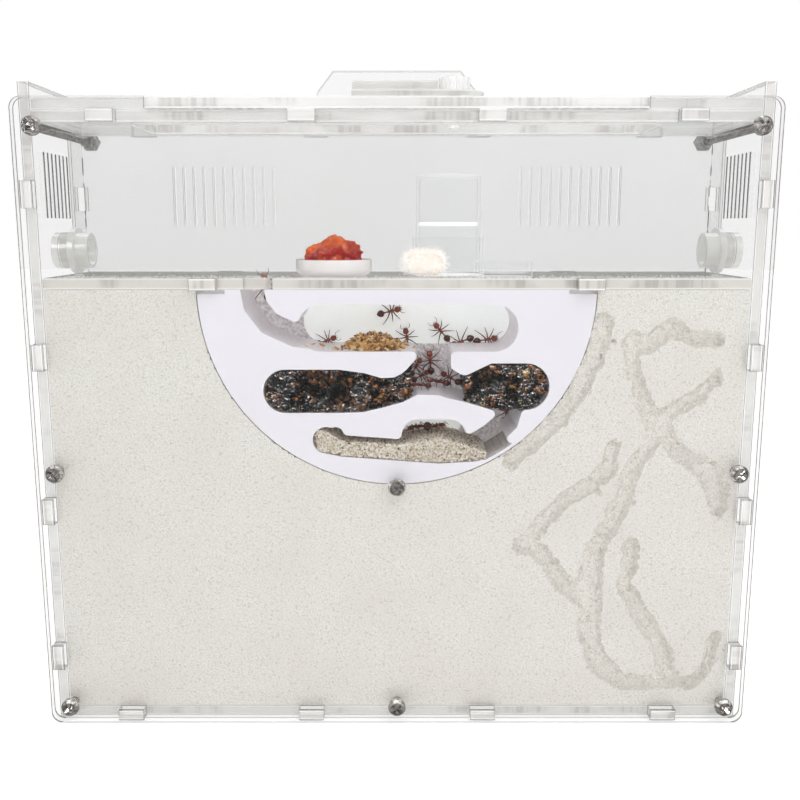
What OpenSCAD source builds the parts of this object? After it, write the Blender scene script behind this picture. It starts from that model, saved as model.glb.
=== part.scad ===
// Ant habitat: a clear case with a foraging space above a nest of sand, and in the nest a
// half-round block with galleries for the colony. +X is right, -Y is the front, +Z is up, and
// the origin is the middle of the footprint. Sizes are in millimetres.

/* [Case] */
// Width of the front and back panels
panel_w = 200; // [190:1:230]
// Thickness of every clear sheet
sheet_t = 3; // [2.5:0.1:3.5]
// Clear depth between the front and back panels
room_d = 40; // [39:1:55]
// How far the front and back panels stand out past the side walls
overhang = 1.4; // [0.8:0.1:2.5]
// Gap between the table and the base plate
base_lift = 0.8; // [0.6:0.1:3]
// Clear height of the nest, from the base plate to the shelf
nest_h = 121.1; // [115:0.1:150]
// Clear height of the foraging space, from the shelf to the roof plate
forage_h = 40.6; // [39:0.1:60]
// How far the side walls rise above the lid
ear_rise = 4; // [0:0.5:8]
// Corner radius of the front and back panels
corner_r = 3; // [1:0.5:4]
// Gap left between two fixed pieces that meet
joint_gap = 0.1; // [0.05:0.05:0.2]

/* [Finger tabs] */
// Width of each finger tab
tab_w = 7; // [4:0.5:10]
// Height of the lowest side wall tab above the table
tab_low = 20; // [14:0.5:28]
// Spacing of the side wall tabs
tab_pitch = 43.3; // [36:0.1:46]
// Number of tabs on each edge of a side wall
tab_count = 4; // [2:1:4]
// Distance from the middle to the inner tabs of the base and roof plates
tab_near = 24.8; // [18:0.1:40]
// Distance from the middle to the outer tabs of the base and roof plates
tab_far = 77; // [60:0.5:84]
// Distance from the middle to the shelf tabs
shelf_tab = 52; // [30:0.5:80]

/* [Case screws] */
// Diameter of the screw shanks
screw_d = 2.5; // [2:0.1:3.5]
// Diameter of the screw heads
screw_head_d = 5; // [4.5:0.1:7]
// Height of the screw heads
screw_head_h = 2; // [1.5:0.1:2.5]
// Clearance between a shank and its hole, on the diameter
screw_clear = 0.2; // [0.1:0.05:0.4]
// Width of the nuts across their flats
nut_af = 5; // [4.5:0.1:7]
// Thickness of the nuts
nut_h = 2; // [1.6:0.1:3]
// Length of shank that stands out of each nut
screw_end = 2; // [0.5:0.1:4]
// Height of the middle pair of screws above the table
mid_screw_z = 74.5; // [70:0.5:80]

/* [Vents] */
// Number of slits in each group of the back panel and of the lid
slit_count = 11; // [5:1:13]
// Spacing of the slits in the back panel and the lid
slit_pitch = 3.05; // [2.5:0.05:3.2]
// Width of every slit
slit_w = 0.4; // [0.3:0.1:0.8]
// Length of every slit
slit_len = 17.6; // [12:0.1:20]
// Distance from the middle to the centre of each group
slit_mid = 53.1; // [50:0.1:55]
// Height of the back slits' centre above the shelf
slit_rise = 22.8; // [15:0.1:27]
// Number of slits in each side wall
side_slit_count = 7; // [3:1:8]
// Spacing of the slits in the side walls
side_slit_pitch = 3; // [2:0.1:3.4]
// Depth of the side slits' centre behind the front panel
side_slit_back = 17; // [14:0.5:22]
// Height of the side slits' centre above the shelf
side_slit_rise = 24.8; // [20:0.1:28]

/* [Lid] */
// Width of the tongues that lie in the notches of the front and back panels
tongue_w = 130.3; // [100:0.1:150]
// Gap round the lid
lid_gap = 0.2; // [0.1:0.05:0.4]
// Width of the access opening in the roof plate
access_w = 144; // [143:1:150]
// Depth of the access opening in the roof plate
access_d = 26; // [24:0.5:28]
// Corner radius of the access opening
access_r = 3; // [1:0.5:6]
// Width of the handle at its foot
handle_foot_w = 45.5; // [36:0.5:60]
// Width of the handle at its top
handle_top_w = 36.3; // [24:0.1:36.5]
// Height of the handle above the lid
handle_h = 10.4; // [8:0.1:20]
// Height above the lid at which the handle's sides begin to slope
handle_shoulder = 4.6; // [2:0.1:6]
// Distance from the front face of the case to the handle
handle_back = 27; // [26.5:0.5:32]
// Distance from the middle to each handle tab
handle_tab = 12; // [8:0.5:15]

/* [Port flap] */
// Diameter of the feeding port in the lid
port_d = 12; // [8:0.5:14]
// Distance from the middle to the flap's pivot
pivot_x = 15.8; // [12:0.1:20]
// Distance from the front face of the case to the pivot
pivot_back = 18; // [16:0.5:18.5]
// Distance from the pivot to the centre of the port
port_reach = 18.8; // [16:0.1:19]
// Distance from the pivot to the free end of the flap
flap_len = 28; // [27:0.5:34]
// Width of the flap
flap_w = 16; // [15:0.5:17]
// Width of the finger grip on the flap
grip_w = 6; // [4:0.5:8]
// Height of the finger grip
grip_h = 3; // [2:0.5:5]
// Diameter of the thumb screw's shank
thumb_d = 3; // [2.5:0.1:3.5]
// Diameter of the thumb screw's head
thumb_head_d = 8.6; // [7:0.1:9]
// Height of the thumb screw's head
thumb_head_h = 3.8; // [3:0.1:6]
// Width of the thumb screw's nut across its flats
thumb_nut_af = 5.5; // [5:0.1:7]
// Thickness of the thumb screw's nut
thumb_nut_h = 2.4; // [2:0.1:3]
// Length of the thumb screw's shank that stands out of its nut
thumb_end = 1; // [0.5:0.1:1.5]
// Running clearance round the thumb screw's shank, on the radius
run_clear = 0.08; // [0.05:0.01:0.1]

/* [Side plugs] */
// Diameter of a plug's body
plug_d = 10.3; // [8:0.1:11]
// Running clearance round a plug's body, on the radius
plug_clear = 0.06; // [0.03:0.01:0.1]
// Diameter of the flange that lies against the inner face of the wall
plug_flange_d = 13.3; // [12.5:0.1:13.4]
// Thickness of a plug's flange
plug_flange_t = 1.6; // [1:0.1:3]
// How far a plug reaches into the foraging space
plug_reach = 5.3; // [3.5:0.1:8]
// How far a plug stands out of the wall
plug_stub = 2; // [0.5:0.1:4]
// Wall thickness of a plug
plug_wall = 0.9; // [0.6:0.1:2]
// Thickness of a plug's closed outer end
plug_cap = 1.6; // [1:0.1:2.5]
// Depth of the plugs' axis behind the front panel
plug_back = 27; // [16:0.5:28]
// Height of the plugs' axis above the shelf
plug_rise = 6.8; // [6.8:0.1:9]

/* [Gallery block] */
// Radius of the half-round block
block_r = 54; // [52:0.5:58]
// Depth of the galleries behind the front of the block
gallery_d = 22; // [14:0.5:30]
// Radius that blends galleries where they meet
gallery_blend = 1.3; // [0.5:0.1:1.5]
// Height of the upper chamber
upper_h = 12.8; // [10:0.1:14]
// Height of the left soil chamber
left_h = 12.1; // [10:0.1:13]
// Height of the right soil chamber
right_h = 13; // [11:0.1:14]
// Width of the neck between the upper chamber and the junction below it
neck_w = 8.2; // [6:0.1:10]
// Width of the two arms of the junction
arm_w = 7.3; // [5:0.1:8]
// Height of the sand chamber's gallery
sand_chamber_h = 6.2; // [5:0.1:7]
// Width of the tunnel that enters from the shelf
entry_w = 6.4; // [5:0.1:7.5]
// Width of the passage from the right soil chamber to the sand
exit_w = 7; // [5:0.1:7.5]
// Width of the thin lip that bridges the mouth of the passage at the block's rim
exit_lip_w = 0.8; // [0.6:0.1:1.5]
// Depth of the lip behind the front of the block
exit_lip_d = 3; // [1:0.5:6]
// Length of the locating slots in the block's top corners
corner_slot_l = 7.5; // [4:0.5:9]
// Height of the locating slots in the block's top corners
corner_slot_h = 1.1; // [0.6:0.1:2]
// Width of the hole through the shelf into the entry tunnel
shelf_hole_w = 8; // [6:0.1:9]
// Depth of the hole through the shelf
shelf_hole_d = 12; // [8:0.5:16]
// Depth of the hole behind the front panel
shelf_hole_back = 1.5; // [1:0.1:4]
// Gap between the block's contents and its walls
fill_gap = 0.3; // [0.2:0.1:0.5]

/* [Sand] */
// How deep the dug tunnels go behind the front panel
tunnel_d = 6; // [3:0.5:16]
// Width of the tunnel round the block
rim_tunnel_w = 4.8; // [3:0.1:6]
// Gap between the sand and the case
sand_gap = 0.15; // [0.1:0.05:0.3]

/* [Food dish] */
// Diameter of the food dish
dish_d = 21.3; // [16:0.1:24]
// Height of the food dish
dish_h = 4.6; // [3:0.1:7]
// Wall thickness of the food dish
dish_wall = 1.2; // [0.8:0.1:2]
// Radius of the food dish's lower edge
dish_edge_r = 2; // [1:0.1:2.5]
// Distance from the middle to the food dish
dish_x = 17.8; // [14:0.1:24]
// Depth of the food dish's centre behind the front panel
dish_back = 13.8; // [13:0.1:20]
// Height of the jelly above the rim of the dish
jelly_h = 6.6; // [3:0.1:9]

/* [Drinker] */
// Outer diameter of the drinker tube
tube_d = 19.2; // [16:0.1:20]
// Wall thickness of the drinker tube
tube_wall = 0.9; // [0.7:0.1:2]
// Length of the drinker tube
tube_len = 27.1; // [22:0.1:30]
// Height of the water in the tube
water_h = 13.9; // [6:0.1:20]
// Height of the drinker cup
cup_h = 10.7; // [8:0.1:11]
// Wall thickness of the drinker cup
cup_wall = 0.8; // [0.6:0.1:1.2]
// Thickness of the drinker cup's floor
cup_floor = 1; // [0.8:0.1:2]
// Clearance between the tube and the cup, on the radius
tube_clear = 0.1; // [0.05:0.01:0.15]
// Distance from the middle to the drinker
drinker_x = 14.8; // [13:0.1:16]
// Depth of the drinker's centre behind the front panel
drinker_back = 22.2; // [22:0.1:24]
// Width of the drinking port in the cup
cup_port_w = 6; // [4:0.1:8]
// Height of the drinking port in the cup
cup_port_h = 4.5; // [3:0.1:6]
// Width of the cotton wick
wick_w = 11.2; // [8:0.1:12]
// Depth of the cotton wick
wick_d = 10; // [8:0.1:11]
// Height of the cotton wick
wick_h = 7; // [5:0.1:9]

/* [Water dish] */
// Diameter of the water dish
basin_d = 16.2; // [14:0.1:16.8]
// Height of the water dish
basin_h = 4.1; // [3:0.1:6]
// Wall thickness of the water dish
basin_wall = 1; // [0.7:0.1:1.5]
// Distance from the middle to the water dish
basin_x = 29.6; // [29.4:0.1:40]
// Depth of the water dish's centre behind the front panel
basin_back = 10; // [9.5:0.1:10.5]

/* [Hidden] */
$fn = 64;

// A little more than a cut needs, so that it passes right through
over = 1;
// Gap under a loose piece that stands on the shelf
rest_gap = 0.05;

// Heights, from the table upwards
base_top = base_lift + sheet_t;
shelf_under = base_top + nest_h;
shelf_top = shelf_under + sheet_t;
roof_under = shelf_top + forage_h;
roof_top = roof_under + sheet_t;
lid_under = roof_top + joint_gap;
panel_h = lid_under + sheet_t;
wall_top = panel_h + ear_rise;

// Widths, from the middle outwards
wall_out = panel_w / 2 - overhang;
wall_in = wall_out - sheet_t;
plate_half = wall_in - joint_gap;

// Depths: the screws reach as far in front of the origin as behind it
shank_len = 2 * sheet_t + room_d + nut_h + screw_end;
front_y = (screw_head_h - shank_len) / 2;
room_front = front_y + sheet_t;
room_back = room_front + room_d;
room_mid = (room_front + room_back) / 2;
back_y = room_back + sheet_t;

// Case screws: the corner rods run along the walls, and the centre one carries the block
screw_x = wall_in - screw_d / 2 - joint_gap;
low_screw_z = base_top + screw_d / 2 + joint_gap;
top_screw_z = roof_under - screw_d / 2 - joint_gap;
block_top = shelf_under - joint_gap;
rim_screw_z = block_top - block_r;
SCREWS = [[-screw_x, low_screw_z], [0, low_screw_z], [screw_x, low_screw_z],
    [-screw_x, mid_screw_z], [0, rim_screw_z], [screw_x, mid_screw_z],
    [-screw_x, top_screw_z], [screw_x, top_screw_z]];
hole_d = screw_d + screw_clear;

tab_zs = [for (i = [0 : tab_count - 1]) tab_low + i * tab_pitch];
plate_tabs = [-tab_far, -tab_near, tab_near, tab_far];
shelf_tabs = [-shelf_tab, shelf_tab];
notch_half = tongue_w / 2 + joint_gap;

// Lid furniture
pivot_y = front_y + pivot_back;
flap_under = panel_h + joint_gap;
flap_top = flap_under + sheet_t;
thumb_under = flap_top + joint_gap;
nut_clear = 0.05;
handle_tabs = [-handle_tab, handle_tab];

// Places of the loose pieces on the shelf
ground = shelf_top + rest_gap;
plug_y = room_front + plug_back;
plug_z = shelf_top + plug_rise;
dish_y = room_front + dish_back;
drinker_y = room_front + drinker_back;
basin_y = room_front + basin_back;
cup_r = tube_d / 2 + tube_clear + cup_wall;

// The galleries' places are [across, below the top of the block], in percent of its radius
function spot(x, z) = [x, z] * block_r / 100;
function spots(points) = [for (p = points) spot(p.x, p.y)];
function bend(x, z, w) = [x * block_r / 100, z * block_r / 100, w];

upper_roof = 4;
upper_z = -upper_roof - upper_h / 2;
upper_left = [spot(-38.3, 0).x, upper_z];
upper_right = [spot(49.3, 0).x, upper_z];
entry_route = spots([[-73, 3.7], [-71.1, -7.8], [-64.4, -16.7], [-50.9, -23], [-40.7, -23.9]]);
left_mid = -51.5;
right_mid = -49.1;
junction = spot(19.8, -45.2);
sill = spots([[8.1, -46.3], [26.7, -47]]);
left_arm = [bend(-56.9, left_mid, left_h), bend(-29.6, left_mid, left_h),
    bend(-16.7, -52.2, left_h * 0.9), bend(-7.4, -52.2, arm_w + 0.9), bend(0.7, -50.7, arm_w),
    bend(7.8, -47, arm_w), bend(16.7, -38.1, neck_w)];
right_arm = [bend(19.8, -45.2, arm_w), bend(26.7, -48.3, arm_w), bend(34.4, -50, arm_w),
    bend(41.5, -49.8, right_h * 0.78), bend(48.1, right_mid, right_h),
    bend(65.6, right_mid, right_h)];
exit_route = [bend(59.3, -58.5, exit_w - 1.2), bend(56.5, -66.7, exit_w - 0.4),
    bend(48.5, -74.4, exit_w), bend(40, -80.4, exit_w + 0.6)];
exit_mouth = spots([[40.7, -78.5], [54.4, -78], [68.5, -79.6], [68.5, -100], [48.5, -100],
    [46.1, -86.7]]);
sand_route = [bend(-36.3, -77, sand_chamber_h + 1.4), bend(-27.8, -80, sand_chamber_h),
    bend(0, -82, sand_chamber_h), bend(21.7, -82.6, sand_chamber_h + 1.1),
    bend(40, -81.5, sand_chamber_h + 1.1)];
lip_box = spots([[41.7, -94.4], [67.6, -74.1]]);
bump = spot(-31.5, -74.1);
bump_w = 4.4;
window = spots([[10.7, -74.4], [27, -74.4]]);
window_w = 9;
// How far the soil reaches out of the left chamber, and where the right chamber's soil begins
left_soil_end = spot(7.8, 0).x;
right_soil_start = spot(34.1, 0).x;
// Surface of the loose sand in the sand chamber
sand_line = spots([[-55.6, -72], [-37.4, -72], [-27.8, -77.8], [1.9, -79.4], [22.2, -76.1],
    [46.3, -83.3]]);
seed_heap_x = spot(-12.2, 0).x;
seed_heap_w = 17;
seed_heap_h = 4;

// Dug tunnels, as [in from the right wall, up from the base plate, width]
branch = [23.9, 84, 4.6];
TUNNELS = [
    [[31.8, 107.8, 4], [27.2, 106.2, 4.2], [22.9, 109.4, 5.6], [21.4, 111.4, 5],
        [16.1, 108, 4], [8, 107.2, 3.4]],
    [[31.8, 107.8, 4], [31, 99.3, 3.6], [28.8, 93.2, 3.8], branch],
    [branch, [18.8, 88.6, 4], [12.9, 91.3, 4], [8, 97.8, 3.6]],
    [branch, [21.4, 80.9, 4.4], [17.4, 76.2, 4.2], [13.4, 73.4, 4.6], [8.6, 70.3, 6],
        [5.6, 66, 6], [5, 58, 3.4]],
    [branch, [25.8, 77, 4.2], [30.1, 71.5, 4.6], [32, 62.7, 4.4], [35.6, 54.7, 5],
        [39.2, 48.2, 5.4], [40.4, 39.2, 6], [40.1, 30.9, 6.4], [40.6, 22.5, 6],
        [37.9, 14.1, 5.4], [31.2, 7.6, 5], [24, 6.6, 4.4], [17.7, 8.6, 4.8],
        [10.4, 6.6, 4], [5.2, 12.4, 3.2], [3.4, 22, 2.4]],
    [[35.4, 77.7, 3.6], [36.2, 71.5, 4.6], [41.4, 66.7, 3.8], [48.2, 62.7, 3.6],
        [54.2, 56.3, 3.8], [60.2, 48.2, 3.6]],
    [[60.2, 48.2, 3.6], [54.7, 47.4, 4], [51.4, 41.7, 3.8], [45.7, 35.1, 3.6],
        [40.1, 30.9, 4]],
    [[29.1, 49, 4], [29.6, 41.7, 4.6], [30.9, 36.7, 4], [26.7, 30.1, 4.2],
        [22.4, 23.4, 4.4], [18.9, 16.6, 4.2], [17.7, 8.6, 4]]];
rim_tunnel_start = -8;
rim_tunnel_end = -56;
rim_tunnel_step = -6;
rim_wall = 0.5;
// Flats on the round end of a dug tunnel
end_flats = 10;

// ---------- helpers ----------

// Stands an outline drawn across and up into a sheet that runs from y to y + t
module upright(y, t) {
    translate([0, y + t, 0])
        rotate([90, 0, 0])
            linear_extrude(t)
                children();
}

// Stands an outline drawn along the depth and up into a sheet that runs from x to x + t
module sideways(x, t) {
    translate([x, 0, 0])
        rotate([90, 0, 90])
            linear_extrude(t)
                children();
}

// Lays an outline drawn in plan into a sheet that runs from z to z + t
module flat(z, t) {
    translate([0, 0, z])
        linear_extrude(t)
            children();
}

// Rectangle between two corners
module rect(x0, y0, x1, y1) {
    translate([x0, y0])
        square([x1 - x0, y1 - y0]);
}

// Rectangle between two corners, with round corners
module round_rect(x0, y0, x1, y1, r) {
    rect(x0 + r, y0, x1 - r, y1);
    rect(x0, y0 + r, x1, y1 - r);
    for (x = [x0 + r, x1 - r])
        for (y = [y0 + r, y1 - r])
            translate([x, y])
                circle(r);
}

// Round-ended slot between two points
module pill(a, b, w) {
    run = b - a;
    translate(a)
        circle(w / 2);
    translate(b)
        circle(w / 2);
    translate(a)
        rotate(atan2(run.y, run.x))
            translate([0, -w / 2])
                square([norm(run), w]);
}

// Round-ended channel of one width along a route
module channel(route, w) {
    for (i = [0 : len(route) - 2])
        pill(route[i], route[i + 1], w);
}

// Direction of a route at one of its points, from the points beside it
function heading(route, i) =
    let (a = route[max(i - 1, 0)], b = route[min(i + 1, len(route) - 1)],
         d = [b.x - a.x, b.y - a.y])
    d / norm(d);

// Point to one side of a route
function beside(route, i, side) =
    let (d = heading(route, i), half = side * route[i][2] / 2)
    [route[i].x - d.y * half, route[i].y + d.x * half];

// Outline of a tunnel whose width changes along its route, with ends of so many flats
module dug(route, flats = end_flats) {
    last = len(route) - 1;
    polygon(concat([for (i = [0 : last]) beside(route, i, 1)],
                   [for (i = [last : -1 : 0]) beside(route, i, -1)]));
    for (end = [route[0], route[last]])
        translate([end.x, end.y])
            circle(end[2] / 2, $fn = flats);
}

// Row of slits side by side
module slits(count, pitch, x, y) {
    for (i = [0 : count - 1])
        translate([x + (i - (count - 1) / 2) * pitch, y])
            square([slit_w, slit_len], center = true);
}

// Round hole or rod along the depth
module rod_y(x, z, d, y0, y1) {
    translate([x, y1, z])
        rotate([90, 0, 0])
            cylinder(d = d, h = y1 - y0);
}

// ---------- case ----------

// Front or back panel: both have the same outline, slots and screw holes
module end_panel(y) {
    difference() {
        upright(y, sheet_t)
            difference() {
                round_rect(-panel_w / 2, 0, panel_w / 2, panel_h, corner_r);
                rect(-notch_half, roof_top, notch_half, panel_h + over);
                panel_slots();
            }
        for (s = SCREWS)
            rod_y(s.x, s.y, hole_d, y - over, y + sheet_t + over);
    }
}

// Slots of an end panel for the tabs of the walls and plates
module panel_slots() {
    reach = tab_w / 2 + joint_gap;
    for (z = tab_zs)
        for (side = [0, 1])
            mirror([side, 0])
                rect(wall_in - joint_gap, z - reach, wall_out + joint_gap, z + reach);
    plate_slots(plate_tabs, base_lift);
    plate_slots(shelf_tabs, shelf_under);
    plate_slots(plate_tabs, roof_under);
}

module plate_slots(places, z) {
    reach = tab_w / 2 + joint_gap;
    for (x = places)
        rect(x - reach, z - joint_gap, x + reach, z + sheet_t + joint_gap);
}

module front_panel() {
    color([0.90, 0.93, 0.93, 0.35])
        end_panel(front_y);
}

module back_panel() {
    color([0.86, 0.89, 0.89, 0.35])
        difference() {
            end_panel(room_back);
            upright(room_back - over, sheet_t + 2 * over)
                for (side = [-1, 1])
                    slits(slit_count, slit_pitch, side * slit_mid, shelf_top + slit_rise);
        }
}

// Side wall between the end panels, with its tabs, slits and plug hole
module side_wall(x) {
    difference() {
        sideways(x, sheet_t) {
            rect(room_front + joint_gap, 0, room_back - joint_gap, wall_top);
            for (z = tab_zs)
                rect(front_y, z - tab_w / 2, back_y, z + tab_w / 2);
        }
        sideways(x - over, sheet_t + 2 * over)
            slits(side_slit_count, side_slit_pitch, room_front + side_slit_back,
                  shelf_top + side_slit_rise);
        translate([x - over, plug_y, plug_z])
            rotate([0, 90, 0])
                cylinder(d = plug_d + 2 * plug_clear, h = sheet_t + 2 * over);
    }
}

module left_wall() {
    color([0.88, 0.91, 0.91, 0.35])
        side_wall(-wall_out);
}

module right_wall() {
    color([0.88, 0.91, 0.91, 0.35])
        side_wall(wall_in);
}

// Plate between the side walls, with tabs into both end panels
module cross_plate(places) {
    rect(-plate_half, room_front + joint_gap, plate_half, room_back - joint_gap);
    for (x = places)
        rect(x - tab_w / 2, front_y, x + tab_w / 2, back_y);
}

module base_plate() {
    color([0.84, 0.88, 0.88, 0.4])
        flat(base_lift, sheet_t)
            cross_plate(plate_tabs);
}

// The shelf is the floor of the foraging space, with a hole into the entry tunnel
module shelf() {
    hole_x = entry_route[1].x;
    hole_y = room_front + shelf_hole_back;
    color([0.84, 0.88, 0.88, 0.4])
        flat(shelf_under, sheet_t)
            difference() {
                cross_plate(shelf_tabs);
                round_rect(hole_x - shelf_hole_w / 2, hole_y, hole_x + shelf_hole_w / 2,
                           hole_y + shelf_hole_d, shelf_hole_w / 4);
            }
}

module roof_plate() {
    color([0.84, 0.88, 0.88, 0.4])
        flat(roof_under, sheet_t)
            difference() {
                cross_plate(plate_tabs);
                round_rect(-access_w / 2, room_mid - access_d / 2, access_w / 2,
                           room_mid + access_d / 2, access_r);
            }
}

// One case screw: domed head with a cross recess, and a shank that runs to the back
module case_screw() {
    recess_w = screw_head_d / 7;
    recess_l = screw_head_d * 0.62;
    recess_d = screw_head_h * 0.6;
    dome = screw_head_h * 0.45;
    difference() {
        union() {
            rod_y(0, 0, screw_d, 0, shank_len);
            rotate([90, 0, 0]) {
                cylinder(d = screw_head_d, h = screw_head_h - dome);
                translate([0, 0, screw_head_h - dome])
                    cylinder(d1 = screw_head_d, d2 = screw_head_d * 0.78, h = dome);
            }
        }
        for (turn = [45, 135])
            rotate([0, turn, 0])
                translate([-recess_l / 2, -screw_head_h - over, -recess_w / 2])
                    cube([recess_l, recess_d + over, recess_w]);
    }
}

module case_screws() {
    color([0.62, 0.62, 0.61])
        for (s = SCREWS)
            translate([s.x, front_y, s.y])
                case_screw();
}

// Hexagon nut, standing on the plane of its lower face
module hex_nut(bore, across, h) {
    difference() {
        cylinder(d = across / cos(30), h = h, $fn = 6);
        translate([0, 0, -over])
            cylinder(d = bore, h = h + 2 * over);
    }
}

module case_nuts() {
    color([0.66, 0.66, 0.65])
        for (s = SCREWS)
            translate([s.x, back_y + nut_h + joint_gap / 2, s.y])
                rotate([90, 0, 0])
                    hex_nut(screw_d + 2 * nut_clear, nut_af, nut_h);
}

// ---------- nest ----------

// All galleries of the block as one outline
module gallery_outline() {
    $fn = 36;
    translate([0, block_top])
        offset(r = -gallery_blend)
            offset(r = gallery_blend) {
                channel(entry_route, entry_w);
                pill(upper_left, upper_right, upper_h);
                pill([junction.x, upper_z], junction, neck_w);
                pill(sill[0], sill[1], arm_w);
                for (route = [left_arm, right_arm, exit_route, sand_route])
                    dug(route, $fn);
                polygon(exit_mouth);
                translate(bump)
                    circle(bump_w / 2);
                pill(window[0], window[1], window_w);
            }
}

// Half disc below the shelf
module half_disc(r) {
    intersection() {
        translate([0, block_top])
            circle(r);
        rect(-r - over, block_top - r - over, r + over, block_top);
    }
}

module gallery_block() {
    front = room_front + joint_gap;
    deep = room_back - joint_gap - front;
    color([0.93, 0.92, 0.95])
        difference() {
            upright(front, deep)
                half_disc(block_r);
            upright(front - over, gallery_d + over)
                gallery_outline();
            upright(front - over, gallery_d + over)
                for (side = [0, 1])
                    mirror([side, 0])
                        rect(block_r - corner_slot_l, block_top - corner_slot_h,
                             block_r + over, block_top + over);
            rod_y(0, rim_screw_z, hole_d, front - over, room_back + over);
        }
    color([0.93, 0.92, 0.95])
        upright(front, exit_lip_d)
            intersection() {
                difference() {
                    half_disc(block_r);
                    half_disc(block_r - exit_lip_w);
                }
                translate([0, block_top])
                    rect(lip_box[0].x, lip_box[0].y, lip_box[1].x, lip_box[1].y);
            }
}

// What fills a gallery between two places across the block
module gallery_fill(x0, x1, z0, z1) {
    upright(room_front + fill_gap, gallery_d - 2 * fill_gap)
        intersection() {
            offset(r = -fill_gap)
                gallery_outline();
            rect(x0, block_top + z0, x1, block_top + z1);
        }
}

module left_soil() {
    color([0.16, 0.10, 0.06])
        gallery_fill(-block_r, left_soil_end, left_arm[0].y - left_h / 2,
                     left_arm[0].y + left_h * 0.6);
}

module right_soil() {
    color([0.14, 0.09, 0.06])
        gallery_fill(right_soil_start, block_r, right_arm[4].y - right_h * 0.52,
                     right_arm[4].y + right_h * 0.6);
}

module chamber_sand() {
    floor_z = -block_r;
    color([0.80, 0.75, 0.66])
        upright(room_front + fill_gap, gallery_d - 2 * fill_gap)
            intersection() {
                offset(r = -fill_gap)
                    gallery_outline();
                translate([0, block_top])
                    polygon(concat(sand_line, [[sand_line[5].x, floor_z],
                                               [sand_line[0].x, floor_z]]));
            }
}

// Low heap of seeds on the floor of the upper chamber
module seed_heap() {
    floor_z = block_top + upper_z - upper_h / 2 + fill_gap;
    ball_r = (seed_heap_w * seed_heap_w / 4 + seed_heap_h * seed_heap_h) / (2 * seed_heap_h);
    color([0.72, 0.52, 0.30])
        intersection() {
            translate([seed_heap_x, room_front + seed_heap_w / 2 + fill_gap,
                       floor_z + seed_heap_h - ball_r])
                sphere(ball_r);
            translate([seed_heap_x - seed_heap_w / 2, room_front + fill_gap, floor_z])
                cube([seed_heap_w, seed_heap_w, seed_heap_h]);
        }
}

// Tunnel that follows the block's rim down its right side
function rim_route() = [for (a = [rim_tunnel_start : rim_tunnel_step : rim_tunnel_end])
    let (r = block_r + rim_tunnel_w / 2 + rim_wall)
    [r * cos(a), block_top + r * sin(a), rim_tunnel_w]];

// A tunnel's points in the case's own directions
function from_corner(route) = [for (p = route) [wall_in - p.x, base_top + p.y, p[2]]];

module sand_fill() {
    front = room_front + sand_gap;
    deep = room_back - sand_gap - front;
    half = wall_in - sand_gap;
    color([0.89, 0.87, 0.83])
        difference() {
            upright(front, deep)
                difference() {
                    rect(-half, base_top + sand_gap, half, shelf_under - sand_gap);
                    half_disc(block_r + fill_gap);
                    rect(-block_r, block_top - over, block_r, shelf_under);
                }
            upright(front - over, tunnel_d + over) {
                dug(rim_route());
                for (route = TUNNELS)
                    dug(from_corner(route));
            }
            for (s = SCREWS)
                rod_y(s.x, s.y, hole_d, front - over, room_back + over);
            upright(front - over, deep + 2 * over)
                for (side = [0, 1])
                    mirror([side, 0])
                        rect(screw_x, base_top, wall_in, low_screw_z);
        }
}

// ---------- lid ----------

module lid_outline() {
    half = wall_in - lid_gap;
    rect(-half, room_front + lid_gap, half, room_back - lid_gap);
    rect(-tongue_w / 2 + lid_gap, front_y, tongue_w / 2 - lid_gap, back_y);
}

module lid() {
    color([0.84, 0.88, 0.88, 0.4])
        difference() {
            flat(lid_under, sheet_t)
                difference() {
                    lid_outline();
                    for (side = [-1, 1])
                        slits(slit_count, slit_pitch, side * slit_mid, room_mid);
                    for (x = handle_tabs)
                        rect(x - tab_w / 2 - joint_gap, front_y + handle_back - joint_gap,
                             x + tab_w / 2 + joint_gap,
                             front_y + handle_back + sheet_t + joint_gap);
                }
            translate([pivot_x - port_reach, pivot_y, lid_under - over])
                cylinder(d = port_d, h = sheet_t + 2 * over);
            translate([pivot_x, pivot_y, lid_under - over])
                cylinder(r = thumb_d / 2 + run_clear, h = sheet_t + 2 * over);
        }
}

// Upright handle with tabs down into the lid
module lid_handle() {
    foot = panel_h + joint_gap;
    color([0.80, 0.84, 0.86, 0.45])
        upright(front_y + handle_back, sheet_t) {
            polygon([[-handle_foot_w / 2, foot], [handle_foot_w / 2, foot],
                     [handle_foot_w / 2, panel_h + handle_shoulder],
                     [handle_top_w / 2, panel_h + handle_h],
                     [-handle_top_w / 2, panel_h + handle_h],
                     [-handle_foot_w / 2, panel_h + handle_shoulder]]);
            for (x = handle_tabs)
                rect(x - tab_w / 2, lid_under, x + tab_w / 2, foot + over);
        }
}

module thumb_nut() {
    color([0.93, 0.93, 0.92])
        translate([pivot_x, pivot_y, lid_under - thumb_nut_h])
            hex_nut(thumb_d + 2 * run_clear, thumb_nut_af, thumb_nut_h);
}

// Flap that swings about the thumb screw and covers the feeding port
module port_flap() {
    color([0.84, 0.88, 0.88, 0.4])
        difference() {
            flat(flap_under, sheet_t) {
                translate([pivot_x, pivot_y])
                    circle(d = flap_w);
                rect(pivot_x - flap_len, pivot_y - flap_w / 2, pivot_x, pivot_y + flap_w / 2);
            }
            translate([pivot_x, pivot_y, flap_under - over])
                cylinder(r = thumb_d / 2 + run_clear, h = sheet_t + 2 * over);
        }
}

module flap_grip() {
    near = pivot_x - thumb_head_d / 2 - lid_gap * 2;
    color([0.86, 0.90, 0.90, 0.45])
        flat(flap_top, grip_h)
            rect(pivot_x - flap_len, pivot_y - grip_w / 2, near, pivot_y + grip_w / 2);
}

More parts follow.
